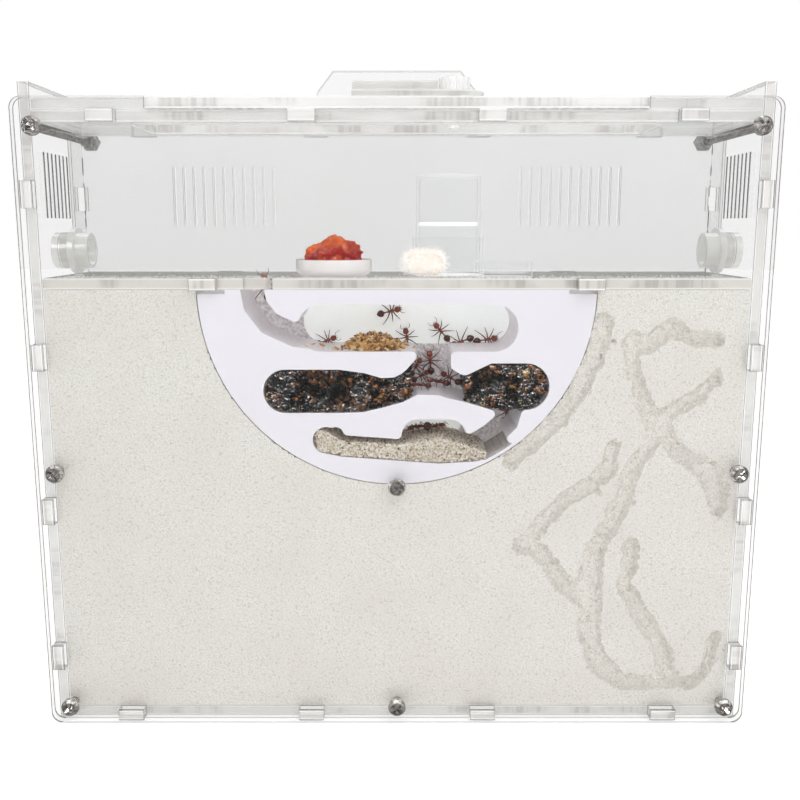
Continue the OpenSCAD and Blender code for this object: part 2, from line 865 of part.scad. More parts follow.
// Thumb screw with a ribbed head and a slot
module thumb_screw() {
    ribs = 16;
    rib_d = thumb_head_d / 12;
    slot_w = thumb_head_d / 7;
    slot_d = thumb_head_h * 0.35;
    tip = lid_under - thumb_nut_h - thumb_end;
    color([0.95, 0.95, 0.94])
        translate([pivot_x, pivot_y, 0])
            difference() {
                union() {
                    translate([0, 0, tip])
                        cylinder(d = thumb_d, h = thumb_under + over - tip);
                    translate([0, 0, thumb_under])
                        cylinder(d = thumb_head_d, h = thumb_head_h);
                }
                for (i = [0 : ribs - 1])
                    rotate(360 / ribs * i)
                        translate([thumb_head_d / 2, 0, thumb_under - over])
                            cylinder(d = rib_d, h = thumb_head_h + 2 * over);
                translate([-thumb_head_d, -slot_w / 2, thumb_under + thumb_head_h - slot_d])
                    cube([2 * thumb_head_d, slot_w, slot_d + over]);
            }
}

// ---------- side plugs ----------

// Plug along +X: an open collar in the room, a flange against the wall's inner face, and a
// body that passes through the wall and is closed at its outer end
module plug() {
    body_len = joint_gap + sheet_t + plug_stub;
    translate([wall_in - joint_gap, plug_y, plug_z])
        rotate([0, 90, 0])
            difference() {
                union() {
                    translate([0, 0, -plug_reach])
                        cylinder(d = plug_d, h = plug_reach + body_len);
                    translate([0, 0, -plug_flange_t])
                        cylinder(d = plug_flange_d, h = plug_flange_t);
                }
                translate([0, 0, -plug_reach - over])
                    cylinder(d = plug_d - 2 * plug_wall,
                             h = plug_reach + over + body_len - plug_cap);
            }
}

module left_plug() {
    color([0.93, 0.94, 0.94, 0.8])
        mirror([1, 0, 0])
            plug();
}

module right_plug() {
    color([0.93, 0.94, 0.94, 0.8])
        plug();
}

// ---------- things on the shelf ----------

module food_dish() {
    r = dish_d / 2;
    color([0.95, 0.93, 0.92])
        translate([-dish_x, dish_y, ground])
            rotate_extrude()
                difference() {
                    union() {
                        rect(0, 0, r - dish_edge_r, dish_h);
                        rect(0, dish_edge_r, r, dish_h);
                        intersection() {
                            translate([r - dish_edge_r, dish_edge_r])
                                circle(dish_edge_r);
                            rect(0, 0, r, dish_h);
                        }
                    }
                    rect(-over, dish_wall, r - dish_wall, dish_h + over);
                }
}

// Lump of jelly: balls that sink into each other, cut off by the dish's floor
module food_jelly() {
    bed = ground + dish_wall + joint_gap;
    peak = ground + dish_h + jelly_h;
    spread = dish_d / 2 - dish_wall - joint_gap;
    lumps = [[0.02, 0.05, 0.56, 1], [-0.4, -0.05, 0.5, 0.8], [0.34, 0.02, 0.5, 0.86],
             [-0.1, -0.36, 0.48, 0.82], [0.08, 0.4, 0.46, 0.75]];
    color([0.78, 0.16, 0.10])
        intersection() {
            union()
                for (l = lumps)
                    translate([-dish_x + l.x * spread, dish_y + l.y * spread,
                               bed + (peak - bed) * l[3] - l[2] * spread])
                        sphere(l[2] * spread);
            translate([-dish_x, dish_y, bed])
                cylinder(r = spread, h = peak - bed + over);
        }
}

module drinker_cup() {
    port_x = -cup_r * 0.52;
    color([0.86, 0.89, 0.90, 0.4])
        translate([drinker_x, drinker_y, shelf_top])
            difference() {
                cylinder(r = cup_r, h = cup_h);
                translate([0, 0, cup_floor])
                    cylinder(r = cup_r - cup_wall, h = cup_h);
                translate([port_x - cup_port_w / 2, -cup_r - over, cup_floor])
                    cube([cup_port_w, cup_r, cup_port_h]);
            }
}

// Tube that stands mouth down in the cup
module drinker_tube() {
    foot = shelf_top + cup_floor + rest_gap;
    color([0.88, 0.91, 0.92, 0.4])
        translate([drinker_x, drinker_y, foot])
            difference() {
                cylinder(d = tube_d, h = tube_len);
                translate([0, 0, -over])
                    cylinder(d = tube_d - 2 * tube_wall, h = tube_len - tube_wall + over);
            }
}

module drinker_water() {
    foot = shelf_top + cup_floor + rest_gap;
    color([0.80, 0.87, 0.90, 0.4])
        translate([drinker_x, drinker_y, foot])
            cylinder(d = tube_d - 2 * tube_wall - 2 * nut_clear, h = water_h);
}

// Cotton that closes the drinking port, hollowed to sit against the cup
module cotton_wick() {
    centre_x = drinker_x - cup_r * 0.68;
    near = drinker_y - cup_r * 0.72 - wick_d;
    edge_r = wick_h * 0.4;
    color([0.95, 0.93, 0.89])
        difference() {
            upright(near, wick_d)
                round_rect(centre_x - wick_w / 2, shelf_top + rest_gap, centre_x + wick_w / 2,
                           shelf_top + wick_h, edge_r);
            translate([drinker_x, drinker_y, shelf_top])
                cylinder(r = cup_r + joint_gap, h = cup_h + over);
        }
}

module water_dish() {
    color([0.88, 0.91, 0.92, 0.4])
        translate([basin_x, basin_y, ground])
            difference() {
                cylinder(d = basin_d, h = basin_h);
                translate([0, 0, basin_wall])
                    cylinder(d = basin_d - 2 * basin_wall, h = basin_h);
            }
}

front_panel();
back_panel();
left_wall();
right_wall();
base_plate();
shelf();
roof_plate();
case_screws();
case_nuts();
gallery_block();
sand_fill();
left_soil();
right_soil();
chamber_sand();
seed_heap();
lid();
lid_handle();
thumb_nut();
port_flap();
flap_grip();
thumb_screw();
left_plug();
right_plug();
food_dish();
food_jelly();
drinker_cup();
drinker_tube();
drinker_water();
cotton_wick();
water_dish();
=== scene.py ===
# %% [markdown]
# # Finishing an ant habitat
# A clear case stands on its lower edges. Its upper third is an open room with food and water,
# and below the shelf lies sand round a white half-round block with galleries. The construction
# comes ready made from the CAD frame; this lesson gives it its finishes, replaces the plain
# fillings by loose grains, soil, seeds, jelly and cotton, and puts the colony in.

# %% Load the frame
import math

import bmesh
import bpy
import numpy as np
from mathutils import Matrix, Vector, noise
from mathutils.bvhtree import BVHTree


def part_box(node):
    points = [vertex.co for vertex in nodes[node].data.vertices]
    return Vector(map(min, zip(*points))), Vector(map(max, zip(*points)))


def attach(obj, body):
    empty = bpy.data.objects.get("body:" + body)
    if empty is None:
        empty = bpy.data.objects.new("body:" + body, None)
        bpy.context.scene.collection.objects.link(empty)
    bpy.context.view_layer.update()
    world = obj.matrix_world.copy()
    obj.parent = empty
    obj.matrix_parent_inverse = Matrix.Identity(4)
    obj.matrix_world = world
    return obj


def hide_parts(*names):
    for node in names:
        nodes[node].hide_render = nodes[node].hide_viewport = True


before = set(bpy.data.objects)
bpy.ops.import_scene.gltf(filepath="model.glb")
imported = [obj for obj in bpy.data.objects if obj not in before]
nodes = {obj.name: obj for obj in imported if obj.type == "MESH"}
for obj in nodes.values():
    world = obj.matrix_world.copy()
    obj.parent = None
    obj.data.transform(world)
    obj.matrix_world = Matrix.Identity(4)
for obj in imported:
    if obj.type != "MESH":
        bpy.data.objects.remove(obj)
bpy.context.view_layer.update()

# %% [markdown]
# ## Camera and light
# The photograph was taken from close by, a little above the middle, looking slightly down: the
# side walls lean inwards and the floor of the shelf shows. A camera is placed by measuring such
# lines. Its distance is counted from the front panel, so it follows the part if that moves.

# %% Camera
MM = 0.001
PHOTO_SIDE = 800
FOCAL_PIXELS = 938
CAMERA_DISTANCE = 251 * MM
CAMERA_HEIGHT = 141.2 * MM
CAMERA_TILT = math.radians(10.39)
CENTRE_PIXEL = 397

front_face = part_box("front_panel")[0].y
lens_data = bpy.data.cameras.new("camera")
lens_data.sensor_width = 36
lens_data.lens = FOCAL_PIXELS / PHOTO_SIDE * lens_data.sensor_width
lens_data.shift_x = (PHOTO_SIDE / 2 - CENTRE_PIXEL) / PHOTO_SIDE
lens_data.clip_start = 10 * MM
camera = bpy.data.objects.new("camera", lens_data)
camera.location = (0, front_face - CAMERA_DISTANCE, CAMERA_HEIGHT)
camera.rotation_euler = (math.pi / 2 - CAMERA_TILT, 0, 0)
bpy.context.scene.collection.objects.link(camera)
bpy.context.scene.camera = camera
bpy.context.scene.view_settings.view_transform = "Standard"
bpy.context.scene.cycles.transparent_max_bounces = 48
print("lens", round(lens_data.lens, 2), "mm")

# %% [markdown]
# ## Node helpers
# Every finish below is a small sum of masks and noises. Written as plain Python arithmetic it
# stays readable, so one class stands for a socket and turns +, -, * and / into Math nodes, and
# another adds any other node from its type, its settings and what its sockets get.


# %% Arithmetic on sockets
class Wire:
    """A value in a node tree that can be used in plain arithmetic."""

    def __init__(self, tree, socket):
        self.tree = tree
        self.socket = socket

    def math(self, operation, *values):
        return self.tree.node("ShaderNodeMath", {"operation": operation}, dict(enumerate(values)))

    def __add__(self, other):
        return self.math("ADD", self, other)

    def __sub__(self, other):
        return self.math("SUBTRACT", self, other)

    def __rsub__(self, other):
        return self.math("SUBTRACT", other, self)

    def __mul__(self, other):
        return self.math("MULTIPLY", self, other)

    def __truediv__(self, other):
        return self.math("DIVIDE", self, other)

    def __abs__(self):
        return self.math("ABSOLUTE", self)

    __radd__ = __add__
    __rmul__ = __mul__

    def sine(self):
        return self.math("SINE", self)

    def above(self, limit):
        return self.math("GREATER_THAN", self, limit)

    def below(self, limit):
        return self.math("LESS_THAN", self, limit)

    def ramp(self, start, end):
        """0 up to start, 1 from end on, and a smooth rise between them."""
        settings = {"interpolation_type": "SMOOTHSTEP"}
        values = {"Value": self, "From Min": start, "From Max": end}
        return self.tree.node("ShaderNodeMapRange", settings, values)


# %% Nodes and finishes
class Tree:
    """A node tree, and the nodes that most finishes share."""

    def __init__(self, tree):
        self.tree = tree
        tree.nodes.clear()

    def plug(self, socket, value):
        if isinstance(value, Wire):
            self.tree.links.new(value.socket, socket)
        elif socket.type == "RGBA":
            socket.default_value = (*value, 1)
        else:
            socket.default_value = value

    def node(self, kind, settings=None, sockets=None, out=0):
        made = self.tree.nodes.new(kind)
        for name, value in (settings or {}).items():
            setattr(made, name, value)
        for key, value in (sockets or {}).items():
            self.plug(made.inputs[key], value)
        return Wire(self, made.outputs[out])

    def split(self, vector):
        return [self.node("ShaderNodeSeparateXYZ", None, {0: vector}, axis) for axis in range(3)]

    def coordinates(self, kind="Object"):
        return self.node("ShaderNodeTexCoord", out=kind)

    def stretched(self, scale):
        """The object's own coordinates, scaled by a different number on each axis."""
        sockets = {0: self.coordinates(), 1: scale}
        return self.node("ShaderNodeVectorMath", {"operation": "MULTIPLY"}, sockets)

    def noise(self, scale, detail=2.0, roughness=0.5, vector=None):
        sockets = {"Vector": vector or self.coordinates(), "Scale": scale, "Detail": detail,
                   "Roughness": roughness}
        return self.node("ShaderNodeTexNoise", None, sockets)

    def blend(self, factor, first, second):
        sockets = {"Factor": factor, 6: first, 7: second}
        return self.node("ShaderNodeMix", {"data_type": "RGBA"}, sockets, 2)


class Finish(Tree):
    """One material with a Principled shader, whose constants are set by name."""

    def __init__(self, name, **constants):
        self.material = bpy.data.materials.new(name)
        self.material.use_nodes = True
        super().__init__(self.material.node_tree)
        self.shader = self.tree.nodes.new("ShaderNodeBsdfPrincipled")
        self.output = self.tree.nodes.new("ShaderNodeOutputMaterial")
        self.tree.links.new(self.shader.outputs[0], self.output.inputs["Surface"])
        for socket, value in constants.items():
            self.set(socket.replace("_", " "), value)

    def set(self, socket, value):
        self.plug(self.shader.inputs[socket], value)

    def surface(self, mask, other):
        """Shows another shader where the mask is 1."""
        sockets = {0: mask, 1: Wire(self, self.shader.outputs[0]), 2: other}
        mixed = self.node("ShaderNodeMixShader", None, sockets)
        self.tree.links.new(mixed.socket, self.output.inputs["Surface"])

    def bump(self, height, depth, strength=1.0):
        sockets = {"Height": height, "Distance": depth, "Strength": strength}
        self.set("Normal", self.node("ShaderNodeBump", None, sockets))


def paint(red, green, blue):
    """A colour as a screen shows it, 0 to 255, turned into the linear values that shaders use."""
    return tuple(((c / 255 + 0.055) / 1.055) ** 2.4 for c in (red, green, blue))


def speckled(name, scale, first, second, **constants):
    """A finish that wanders between two colours; a larger scale makes smaller spots."""
    finish = Finish(name, **constants)
    finish.set("Base Color", finish.blend(finish.noise(scale), first, second))
    return finish


def dress(finish, *names):
    """Puts a finish on CAD nodes."""
    for name in names:
        data = nodes[name].data
        data.materials.clear()
        data.materials.append(finish.material)


# %% [markdown]
# ## Light
# A product photographed on white is lit by big soft boxes. Here the sky itself is the soft box:
# white for the camera, and for everything else bright above and dimmer towards the camera. Shiny
# things see a third sky, nearly dark with two bright windows in front and pale bands above and at
# the sides, because steel and wet soil look like themselves only with sharp lights on dark. In
# the same way the floor shows them a dim card. Three soft boxes add gentle shadows.

# %% World, lamps and floor
world = bpy.data.worlds.new("studio")
bpy.context.scene.world = world
world.use_nodes = True
sky = Tree(world.node_tree)
across_way, depth_way, up_way = sky.split(sky.coordinates("Generated"))
glow = up_way.ramp(-0.2, 0.9) * 0.36 + depth_way.ramp(-0.8, 0.5) * 0.26 + 0.22


def window(left, right, low, high):
    """1 for the directions of a bright window in front of the case."""
    sides = across_way.above(left) * across_way.below(right)
    return sides * up_way.above(low) * up_way.below(high) * depth_way.below(0.0)


LEFT_WINDOW = (-0.72, -0.24, 0.22, 0.62)
RIGHT_WINDOW = (0.34, 0.52, 0.24, 0.5)
bands = up_way.ramp(0.5, 0.8) * 1.4 + abs(across_way).ramp(0.8, 0.95) * 0.9 + 0.12
bands = bands + window(*LEFT_WINDOW) * 15.0 + window(*RIGHT_WINDOW) * 11.0


def plain_sky(strength):
    """A white background of the given strength."""
    sockets = {"Color": (1.0, 1.0, 1.0), "Strength": strength}
    return sky.node("ShaderNodeBackground", None, sockets)


def is_ray(kind):
    return sky.node("ShaderNodeLightPath", out=kind)


def either(mask, usual, special):
    return sky.node("ShaderNodeMixShader", None, {0: mask, 1: usual, 2: special})


mirrored = either(is_ray("Is Glossy Ray"), plain_sky(glow), plain_sky(bands))
shown_sky = either(is_ray("Is Camera Ray"), mirrored, plain_sky(1.0))
world_output = sky.tree.nodes.new("ShaderNodeOutputWorld")
sky.tree.links.new(shown_sky.socket, world_output.inputs["Surface"])
LIT_POINT = (0, 0, 0.09)


def lamp(name, place, size, power):
    """A square soft box that looks at the middle of the case."""
    data = bpy.data.lights.new(name, "AREA")
    data.size = size
    data.energy = power
    made = bpy.data.objects.new(name, data)
    made.location = place
    way = Vector(LIT_POINT) - Vector(place)
    made.rotation_euler = way.to_track_quat("-Z", "Y").to_euler()
    bpy.context.scene.collection.objects.link(made)


lamp("key", (0.2, -0.5, 0.62), 0.45, 1.15)
lamp("spark", (-0.12, -0.55, 0.42), 0.07, 0.22)
lamp("fill", (0.45, -0.55, 0.2), 0.5, 0.3)

floor_finish = speckled("floor", 4.0, paint(250, 250, 250), paint(254, 254, 254), Roughness=0.6,
                        Emission_Color=(1.0, 1.0, 1.0), Emission_Strength=0.4)
card = floor_finish.node("ShaderNodeEmission", None, {"Strength": 0.3})
mirrored_floor = floor_finish.node("ShaderNodeLightPath", out="Is Glossy Ray")
floor_finish.surface(mirrored_floor, card)
FLOOR_HALF = 3.0
floor_mesh = bpy.data.meshes.new("floor")
floor_corners = [(x * FLOOR_HALF, y * FLOOR_HALF, 0) for x, y in ((-1, -1), (1, -1), (1, 1), (-1, 1))]
floor_mesh.from_pydata(floor_corners, [], [(0, 1, 2, 3)])
floor_mesh.materials.append(floor_finish.material)
floor = bpy.data.objects.new("floor", floor_mesh)
bpy.context.scene.collection.objects.link(floor)

# %% [markdown]
# ## Clear sheet
# Acrylic sheet is almost invisible from the front and bright along its cut edges, where the
# light that travels inside the sheet comes out. Real refraction would need thousands of samples
# and dark edges would hide the nest, so a sheet is drawn by its alpha: a thin veil on the faces
# and nearly opaque on the cut edges, which a mask finds from the surface's own direction.
# The cut edges carry the streaks of the laser across them, and along both rims a white line of
# painted highlight and then the sheet's lip, a darker line of painted shade on most sheets and
# white on the shelf, roof, lid and flap. Where a face is seen at a grazing angle it is painted
# white and more opaque: a painted reflection, as real sheet shows one.

# %% Clear sheet finish
CUT_GREY = paint(186, 181, 176)
CUT_PALE = paint(228, 226, 222)
# Painted light along a sheet's rims: a white highlight line, and a lip of painted shade.
RIM_HIGHLIGHT = paint(255, 255, 253)
LIP_SHADE = paint(132, 128, 126)
LIP_ALPHA = 0.85
STREAKS_ACROSS = 700.0
STREAKS_ALONG = 40.0


def clear_sheet(name, flat, veil, tint, edge_alpha=0.6, cut_paint=CUT_PALE, lip_painted_light=LIP_SHADE,
                lip_from=0.86, marks=None):
    """Clear sheet whose thickness runs along one axis: 0 across, 1 in depth or 2 upwards."""
    low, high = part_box(name)
    middle = (low[flat] + high[flat]) / 2
    half = (high[flat] - low[flat]) / 2
    finish = Finish("clear_" + name, Roughness=0.08, IOR=1.49)
    where = finish.split(finish.coordinates())
    cut = abs(finish.split(finish.coordinates("Normal"))[flat]).below(0.5)
    off_middle = abs(where[flat] - middle) / half
    line = off_middle.ramp(lip_from - 0.2, lip_from - 0.08)
    lip = off_middle.ramp(lip_from, lip_from + 0.08)
    scale = [STREAKS_ACROSS] * 3
    scale[flat] = STREAKS_ALONG
    streak = finish.noise(1.0, 1.5, vector=finish.stretched(tuple(scale))).ramp(0.4, 0.62)
    patch = finish.noise(70.0, 1.0).ramp(0.46, 0.6)
    edge = finish.blend(patch * (streak * 0.5 + 0.3), cut_paint, CUT_GREY)
    # Painted highlight: a white line along each rim; painted shade: the sheet's lip outside it.
    edge = finish.blend(lip, finish.blend(line, edge, RIM_HIGHLIGHT), lip_painted_light)
    colour = finish.blend(cut, tint, edge)
    opaque = line * (LIP_ALPHA - edge_alpha) + edge_alpha
    opaque = opaque * (1 - lip) + lip * LIP_ALPHA
    # Painted reflection: a face seen at a grazing angle is painted white.
    grazing = finish.node("ShaderNodeLayerWeight", None, {"Blend": 0.5}, "Facing").ramp(0.82, 0.97)
    colour = finish.blend(grazing * (1 - cut), colour, RIM_HIGHLIGHT)
    face = grazing * (0.8 - veil) + veil
    alpha = cut * (opaque - face) + face
    if marks:
        colour, alpha = marks(finish, where, cut, colour, alpha)
    finish.set("Base Color", colour)
    finish.set("Alpha", alpha)
    dress(finish, name)


# %% [markdown]
# The laser's narrow slits in the side walls look dark, seen along their length, and are painted
# dark: painted shade; in the back panel they are faint. The joint at the back of each side wall
# shows as a thin broken line of painted shade where the two sheets nearly touch. In front of the
# climbing hole the shelf's edge is clearer. Each of these marks is a mask, found from where the
# surface lies.

# %% Marks on the walls and the back
wall_low, wall_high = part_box("right_wall")
shelf_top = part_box("shelf")[1].z
SLIT_ZONE = shelf_top + 12 * MM, shelf_top + 36 * MM
WALL_SLITS = -18 * MM, 10 * MM
BACK_SLITS = 75 * MM
WALL_BACK = 12 * MM
SHEET = 3 * MM
room_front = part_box("front_panel")[1].y
HOLE_SPAN = -41.5 * MM, -33.5 * MM
# Painted shade of the slits and of the seam at the back.
SLIT_AND_SEAM_SHADE = paint(58, 58, 66)
SEAM_WIDTH = 0.6 * MM


def inside(value, low, high):
    """1 where a value lies between two limits."""
    return value.above(low) * value.below(high)


def wall_marks(finish, where, cut, colour, alpha):
    """Painted shade in slits near the inner face and a seam at the back; no cut edge behind it."""
    across, deep, up = where
    in_slits = cut * inside(up, *SLIT_ZONE) * inside(deep, *WALL_SLITS)
    near_room = abs(across).below(wall_low.x + 0.3 * MM)
    behind = cut * deep.above(WALL_BACK) * (1 - in_slits)
    rough = finish.noise(260.0, 1.0).ramp(0.42, 0.5)
    seam_end = wall_high.y - SHEET
    seam = inside(deep, seam_end - SEAM_WIDTH, seam_end) * near_room * rough
    seam = seam * up.above(shelf_top)
    # Painted shade: the slits and the seam are painted dark.
    colour = finish.blend(in_slits * near_room, colour, SLIT_AND_SEAM_SHADE)
    alpha = alpha * (1 - in_slits) + in_slits * (near_room * 0.7 + 0.02)
    alpha = alpha * (1 - behind * 0.88)
    colour = finish.blend(seam, colour, SLIT_AND_SEAM_SHADE)
    return colour, alpha * (1 - seam) + seam * 0.85


def back_marks(finish, where, cut, colour, alpha):
    """Faint slits of painted shade that show on the front face of the back panel only."""
    across, deep, up = where
    in_slits = cut * inside(up, *SLIT_ZONE) * abs(across).below(BACK_SLITS)
    near_room = deep.below(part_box("back_panel")[0].y + 0.9 * MM)
    # Painted shade: the slits are painted a faint grey.
    colour = finish.blend(in_slits, colour, paint(150, 152, 152))
    return colour, alpha * (1 - in_slits) + in_slits * (near_room * 0.5 + 0.02)


def rim_marks(finish, where, cut, colour, alpha):
    """In front of the climbing hole the shelf is only a thin rim, so its edge is clearer there."""
    across, deep, _ = where
    at_hole = cut * inside(across, *HOLE_SPAN) * deep.below(room_front + MM)
    return colour, alpha * (1 - at_hole * 0.8)


PANE_TINT = paint(120, 124, 123)
BACK_TINT = paint(206, 209, 207)
# A darker lip of painted shade for the front panel.
LIP_DEEP_SHADE = paint(98, 95, 94)
CUT_LIGHT = paint(246, 245, 243)
clear_sheet("front_panel", 1, 0.035, PANE_TINT, 0.12, lip_painted_light=LIP_DEEP_SHADE, lip_from=0.64)
clear_sheet("back_panel", 1, 0.2, BACK_TINT, 0.2, lip_from=0.7, marks=back_marks)
for side in ("left_wall", "right_wall"):
    clear_sheet(side, 0, 0.08, paint(226, 226, 224), 0.6, marks=wall_marks)
clear_sheet("base_plate", 2, 0.1, paint(222, 223, 221), 0.7)
# The shelf's faces are painted near white: a painted reflection of the bright room in its top.
clear_sheet("shelf", 2, 0.22, paint(250, 250, 248), 0.92, paint(232, 228, 221), RIM_HIGHLIGHT,
            marks=rim_marks)
clear_sheet("roof_plate", 2, 0.035, paint(236, 237, 236), 0.55, CUT_LIGHT, RIM_HIGHLIGHT)
clear_sheet("lid", 2, 0.035, paint(236, 236, 235), 0.6, CUT_LIGHT, RIM_HIGHLIGHT)
clear_sheet("lid_handle", 1, 0.08, paint(214, 217, 219), 0.35, lip_painted_light=paint(190, 188, 186))
clear_sheet("port_flap", 2, 0.06, paint(236, 236, 235), 0.45, lip_painted_light=RIM_HIGHLIGHT)
clear_sheet("flap_grip", 2, 0.15, paint(236, 234, 233), 0.5, lip_painted_light=RIM_HIGHLIGHT)

# %% [markdown]
# ## Steel
# The screws and nuts are stainless steel: fully metallic and fairly smooth. Their colour wanders
# in spots between a dark and a pale steel, partly wear and partly painted reflection that gives
# the contrast of sharp lights on dark. The cross recess is dark, because it reflects its own walls.
# The thread on the shanks is a sine wave along the screw, used as the height of a bump: the solids
# carry no thread.

# %% Steel finish
THREAD_PITCH = 0.45 * MM
steel = Finish("steel", Metallic=1.0, Roughness=0.17)
# Spots between dark and pale steel: partly wear and partly painted reflection.
wear_and_reflection = steel.noise(900.0, 3.0)
along_screw = steel.split(steel.coordinates())[1]
steel.set("Base Color", steel.blend(wear_and_reflection.ramp(0.35, 0.65), paint(158, 153, 149),
                                    paint(232, 229, 226)))
thread = (along_screw * (2 * math.pi / THREAD_PITCH)).sine()
in_room = along_screw.above(room_front + 1 * MM)
steel.bump(thread * in_room * 0.3 + wear_and_reflection * 0.3, 0.09 * MM, 0.4)
dress(steel, "case_screws", "case_nuts")

# %% [markdown]
# ## White plastics
# The thumb screw and its nut are nylon, which lets a little light through, and the food dish is
# glazed. A faint emission stands in for the light that scatters inside such white things.

# %% White plastic finishes
nylon = speckled("nylon", 300.0, paint(236, 236, 234), paint(248, 248, 247), Roughness=0.35,
                 Emission_Color=(1.0, 1.0, 1.0), Emission_Strength=0.1)
dress(nylon, "thumb_screw", "thumb_nut")

glaze = Finish("white_glaze", Roughness=0.15, Emission_Color=(1.0, 0.97, 0.96),
               Emission_Strength=0.14)
cloud = glaze.noise(120.0, 2.0)
glaze.set("Base Color", glaze.blend(cloud, paint(238, 232, 230), paint(250, 248, 247)))
glaze.set("Coat Weight", cloud * 0.3 + 0.4)
dress(glaze, "food_dish")

# %% [markdown]
# ## Gallery block
# The block is a smooth white board with a faint violet tint. Light falls in from behind through
# the back of the brood chamber and of the little window in the sand chamber, so these two are
# painted brighter than the face and glow: painted light. The walls and the back of all passages
# are sawn and grey, partly with dust and partly with painted shade, and a faint painted glow
# lightens them.
# Both bright patches are pills, and the distance to a pill's middle line gives their mask. The
# block's own back is plain again: only faces that look at the pane count as a passage's back.

# %% Board finish
board = Finish("white_board", Roughness=0.45, Emission_Strength=0.45)
block_low, block_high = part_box("gallery_block")
block_radius = block_high.x
across, deep, up = board.split(board.coordinates())
below_top = (block_high.z - up) / block_radius
BROOD_PILL = (-0.383, 0.493, 0.193, 0.125)
SAND_PILL = (0.11, 0.27, 0.744, 0.09)


def pill(left, right, middle, radius):
    """1 inside a pill that lies across the block, in shares of the block's radius."""
    beyond = abs(across / block_radius - (left + right) / 2) - (right - left) / 2
    beyond = beyond.math("MAXIMUM", beyond, 0.0)
    away = below_top - middle
    return (beyond * beyond + away * away).below(radius ** 2)


bright = pill(*BROOD_PILL) + pill(*SAND_PILL)
towards_back = board.split(board.coordinates("Normal"))[1]
sawn = abs(towards_back).below(0.5)
hollow = deep.above(block_low.y + 1 * MM) * towards_back.below(-0.5)
rough = board.noise(1100.0, 3.0, 0.65)
dust = board.noise(260.0, 2.0)
face_paint = board.blend(board.noise(25.0, 2.0), paint(242, 239, 246), paint(248, 246, 252))
# Passage backs: grey partly from dust and partly painted shade.
dust_and_shade = board.blend(rough.ramp(0.38, 0.64), paint(178, 172, 173), paint(234, 229, 231))
dust_and_shade = board.blend(dust.ramp(0.4, 0.7) * 0.5, dust_and_shade, paint(240, 235, 237))
glowing = board.blend(board.noise(60.0), paint(232, 238, 235), paint(243, 247, 245))
# Sawn walls: grey partly from sawing and partly painted shade.
sawn_grey_and_shade = board.blend(rough.ramp(0.3, 0.7), paint(214, 209, 212), paint(240, 237, 240))
behind = board.blend(bright, dust_and_shade, glowing)
colour = board.blend(hollow, face_paint, behind)
board.set("Base Color", board.blend(sawn, colour, sawn_grey_and_shade))
board.bump(rough * (sawn + hollow), 0.25 * MM, 0.5)
# Painted glow: the pills shine white, the passage backs and the sawn walls glow faintly grey.
passage_painted_glow = board.blend(rough, paint(128, 124, 124), paint(176, 172, 173))
shine_through = board.blend(bright, passage_painted_glow, paint(238, 241, 239))
shine_through = board.blend(hollow, (0.0, 0.0, 0.0), shine_through)
board.set("Emission Color", board.blend(sawn, shine_through, paint(104, 101, 103)))
dress(board, "gallery_block")

# %% [markdown]
# ## Clear ware
# The drinker and the water dish are moulded from clear plastic, the side plugs from a milky one.
# From the front such a wall is nearly invisible; where it turns away it is painted pale and given
# a glow, a painted sheen, and its very outline is a thin grey line of painted shade. All three
# come from one number, how far the surface turns away; upward faces are painted pale too, and
# the whole ware glows faintly.


# %% Clear ware
def clear_ware(name, veil, rim, tint, line, glow, *on):
    """Clear moulded plastic: a thin veil, a painted pale sheen that glows where the wall turns away
    and on top, and a thin outline of painted shade.
    """
    finish = Finish(name, Roughness=0.05, IOR=1.45, Emission_Strength=glow)
    facing = finish.node("ShaderNodeLayerWeight", None, {"Blend": 0.3}, "Facing")
    turning = facing.ramp(0.4, 0.8)
    outline = facing.ramp(0.85, 0.97)
    upward = finish.split(finish.coordinates("Normal"))[2].above(0.8)
    # Painted sheen: where the wall turns away and on upward faces the ware is painted white and
    # glows.
    painted_sheen = (turning + upward).math("MINIMUM", turning + upward, 1.0)
    colour = finish.blend(painted_sheen, tint, paint(253, 254, 254))
    # Painted shade: a thin grey outline.
    finish.set("Base Color", finish.blend(outline * (1 - upward), colour, line))
    finish.set("Emission Color", finish.blend(painted_sheen * (1 - outline), (0.2, 0.2, 0.2),
                                              (1.0, 1.0, 1.0)))
    alpha = turning * (rim - veil) + veil
    finish.set("Alpha", alpha * (1 - upward) + upward * 0.8)
    dress(finish, *on)


clear_ware("clear_plastic", 0.035, 0.62, paint(206, 210, 210), paint(138, 140, 140), 0.36,
           "drinker_tube", "drinker_cup", "water_dish")
clear_ware("milky_plastic", 0.6, 0.95, paint(244, 244, 241), paint(222, 221, 218), 0.16,
           "left_plug", "right_plug")

# %% [markdown]
# Water climbs a little up the wall of its tube. This meniscus catches the light, which is painted:
# it is a white ring that glows, a painted highlight. The water below it is as clear as the plastic
# round it and glows faintly.

# %% Water
water = Finish("water", Roughness=0.03, IOR=1.33, Emission_Strength=0.5)
water_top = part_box("drinker_water")[1].z
water_up = water.split(water.coordinates())[2]
meniscus = water_up.ramp(water_top - 1.5 * MM, water_top - 0.7 * MM)
ripple = water.noise(300.0, 1.0)
still = water.blend(ripple, paint(196, 200, 200), paint(222, 226, 226))
# Painted highlight: the meniscus is white and glows; the water below glows faintly.
water.set("Base Color", water.blend(meniscus, still, paint(255, 255, 255)))
water.set("Emission Color", water.blend(meniscus, (0.3, 0.3, 0.3), (1.0, 1.0, 1.0)))
water.set("Alpha", meniscus * 0.5 + 0.03)
dress(water, "drinker_water")

# %% [markdown]
# ## Loose stuff
# Sand grains, soil crumbs and seeds are thousands of small stones, each turned and squeezed in
# its own way. Modelling one after the other would be slow, so numpy makes all stones of a heap
# at once as one mesh: a rough ball, random turns and sizes, and one finish picked for each.

# %% Strewing stones
dice = np.random.default_rng(20)


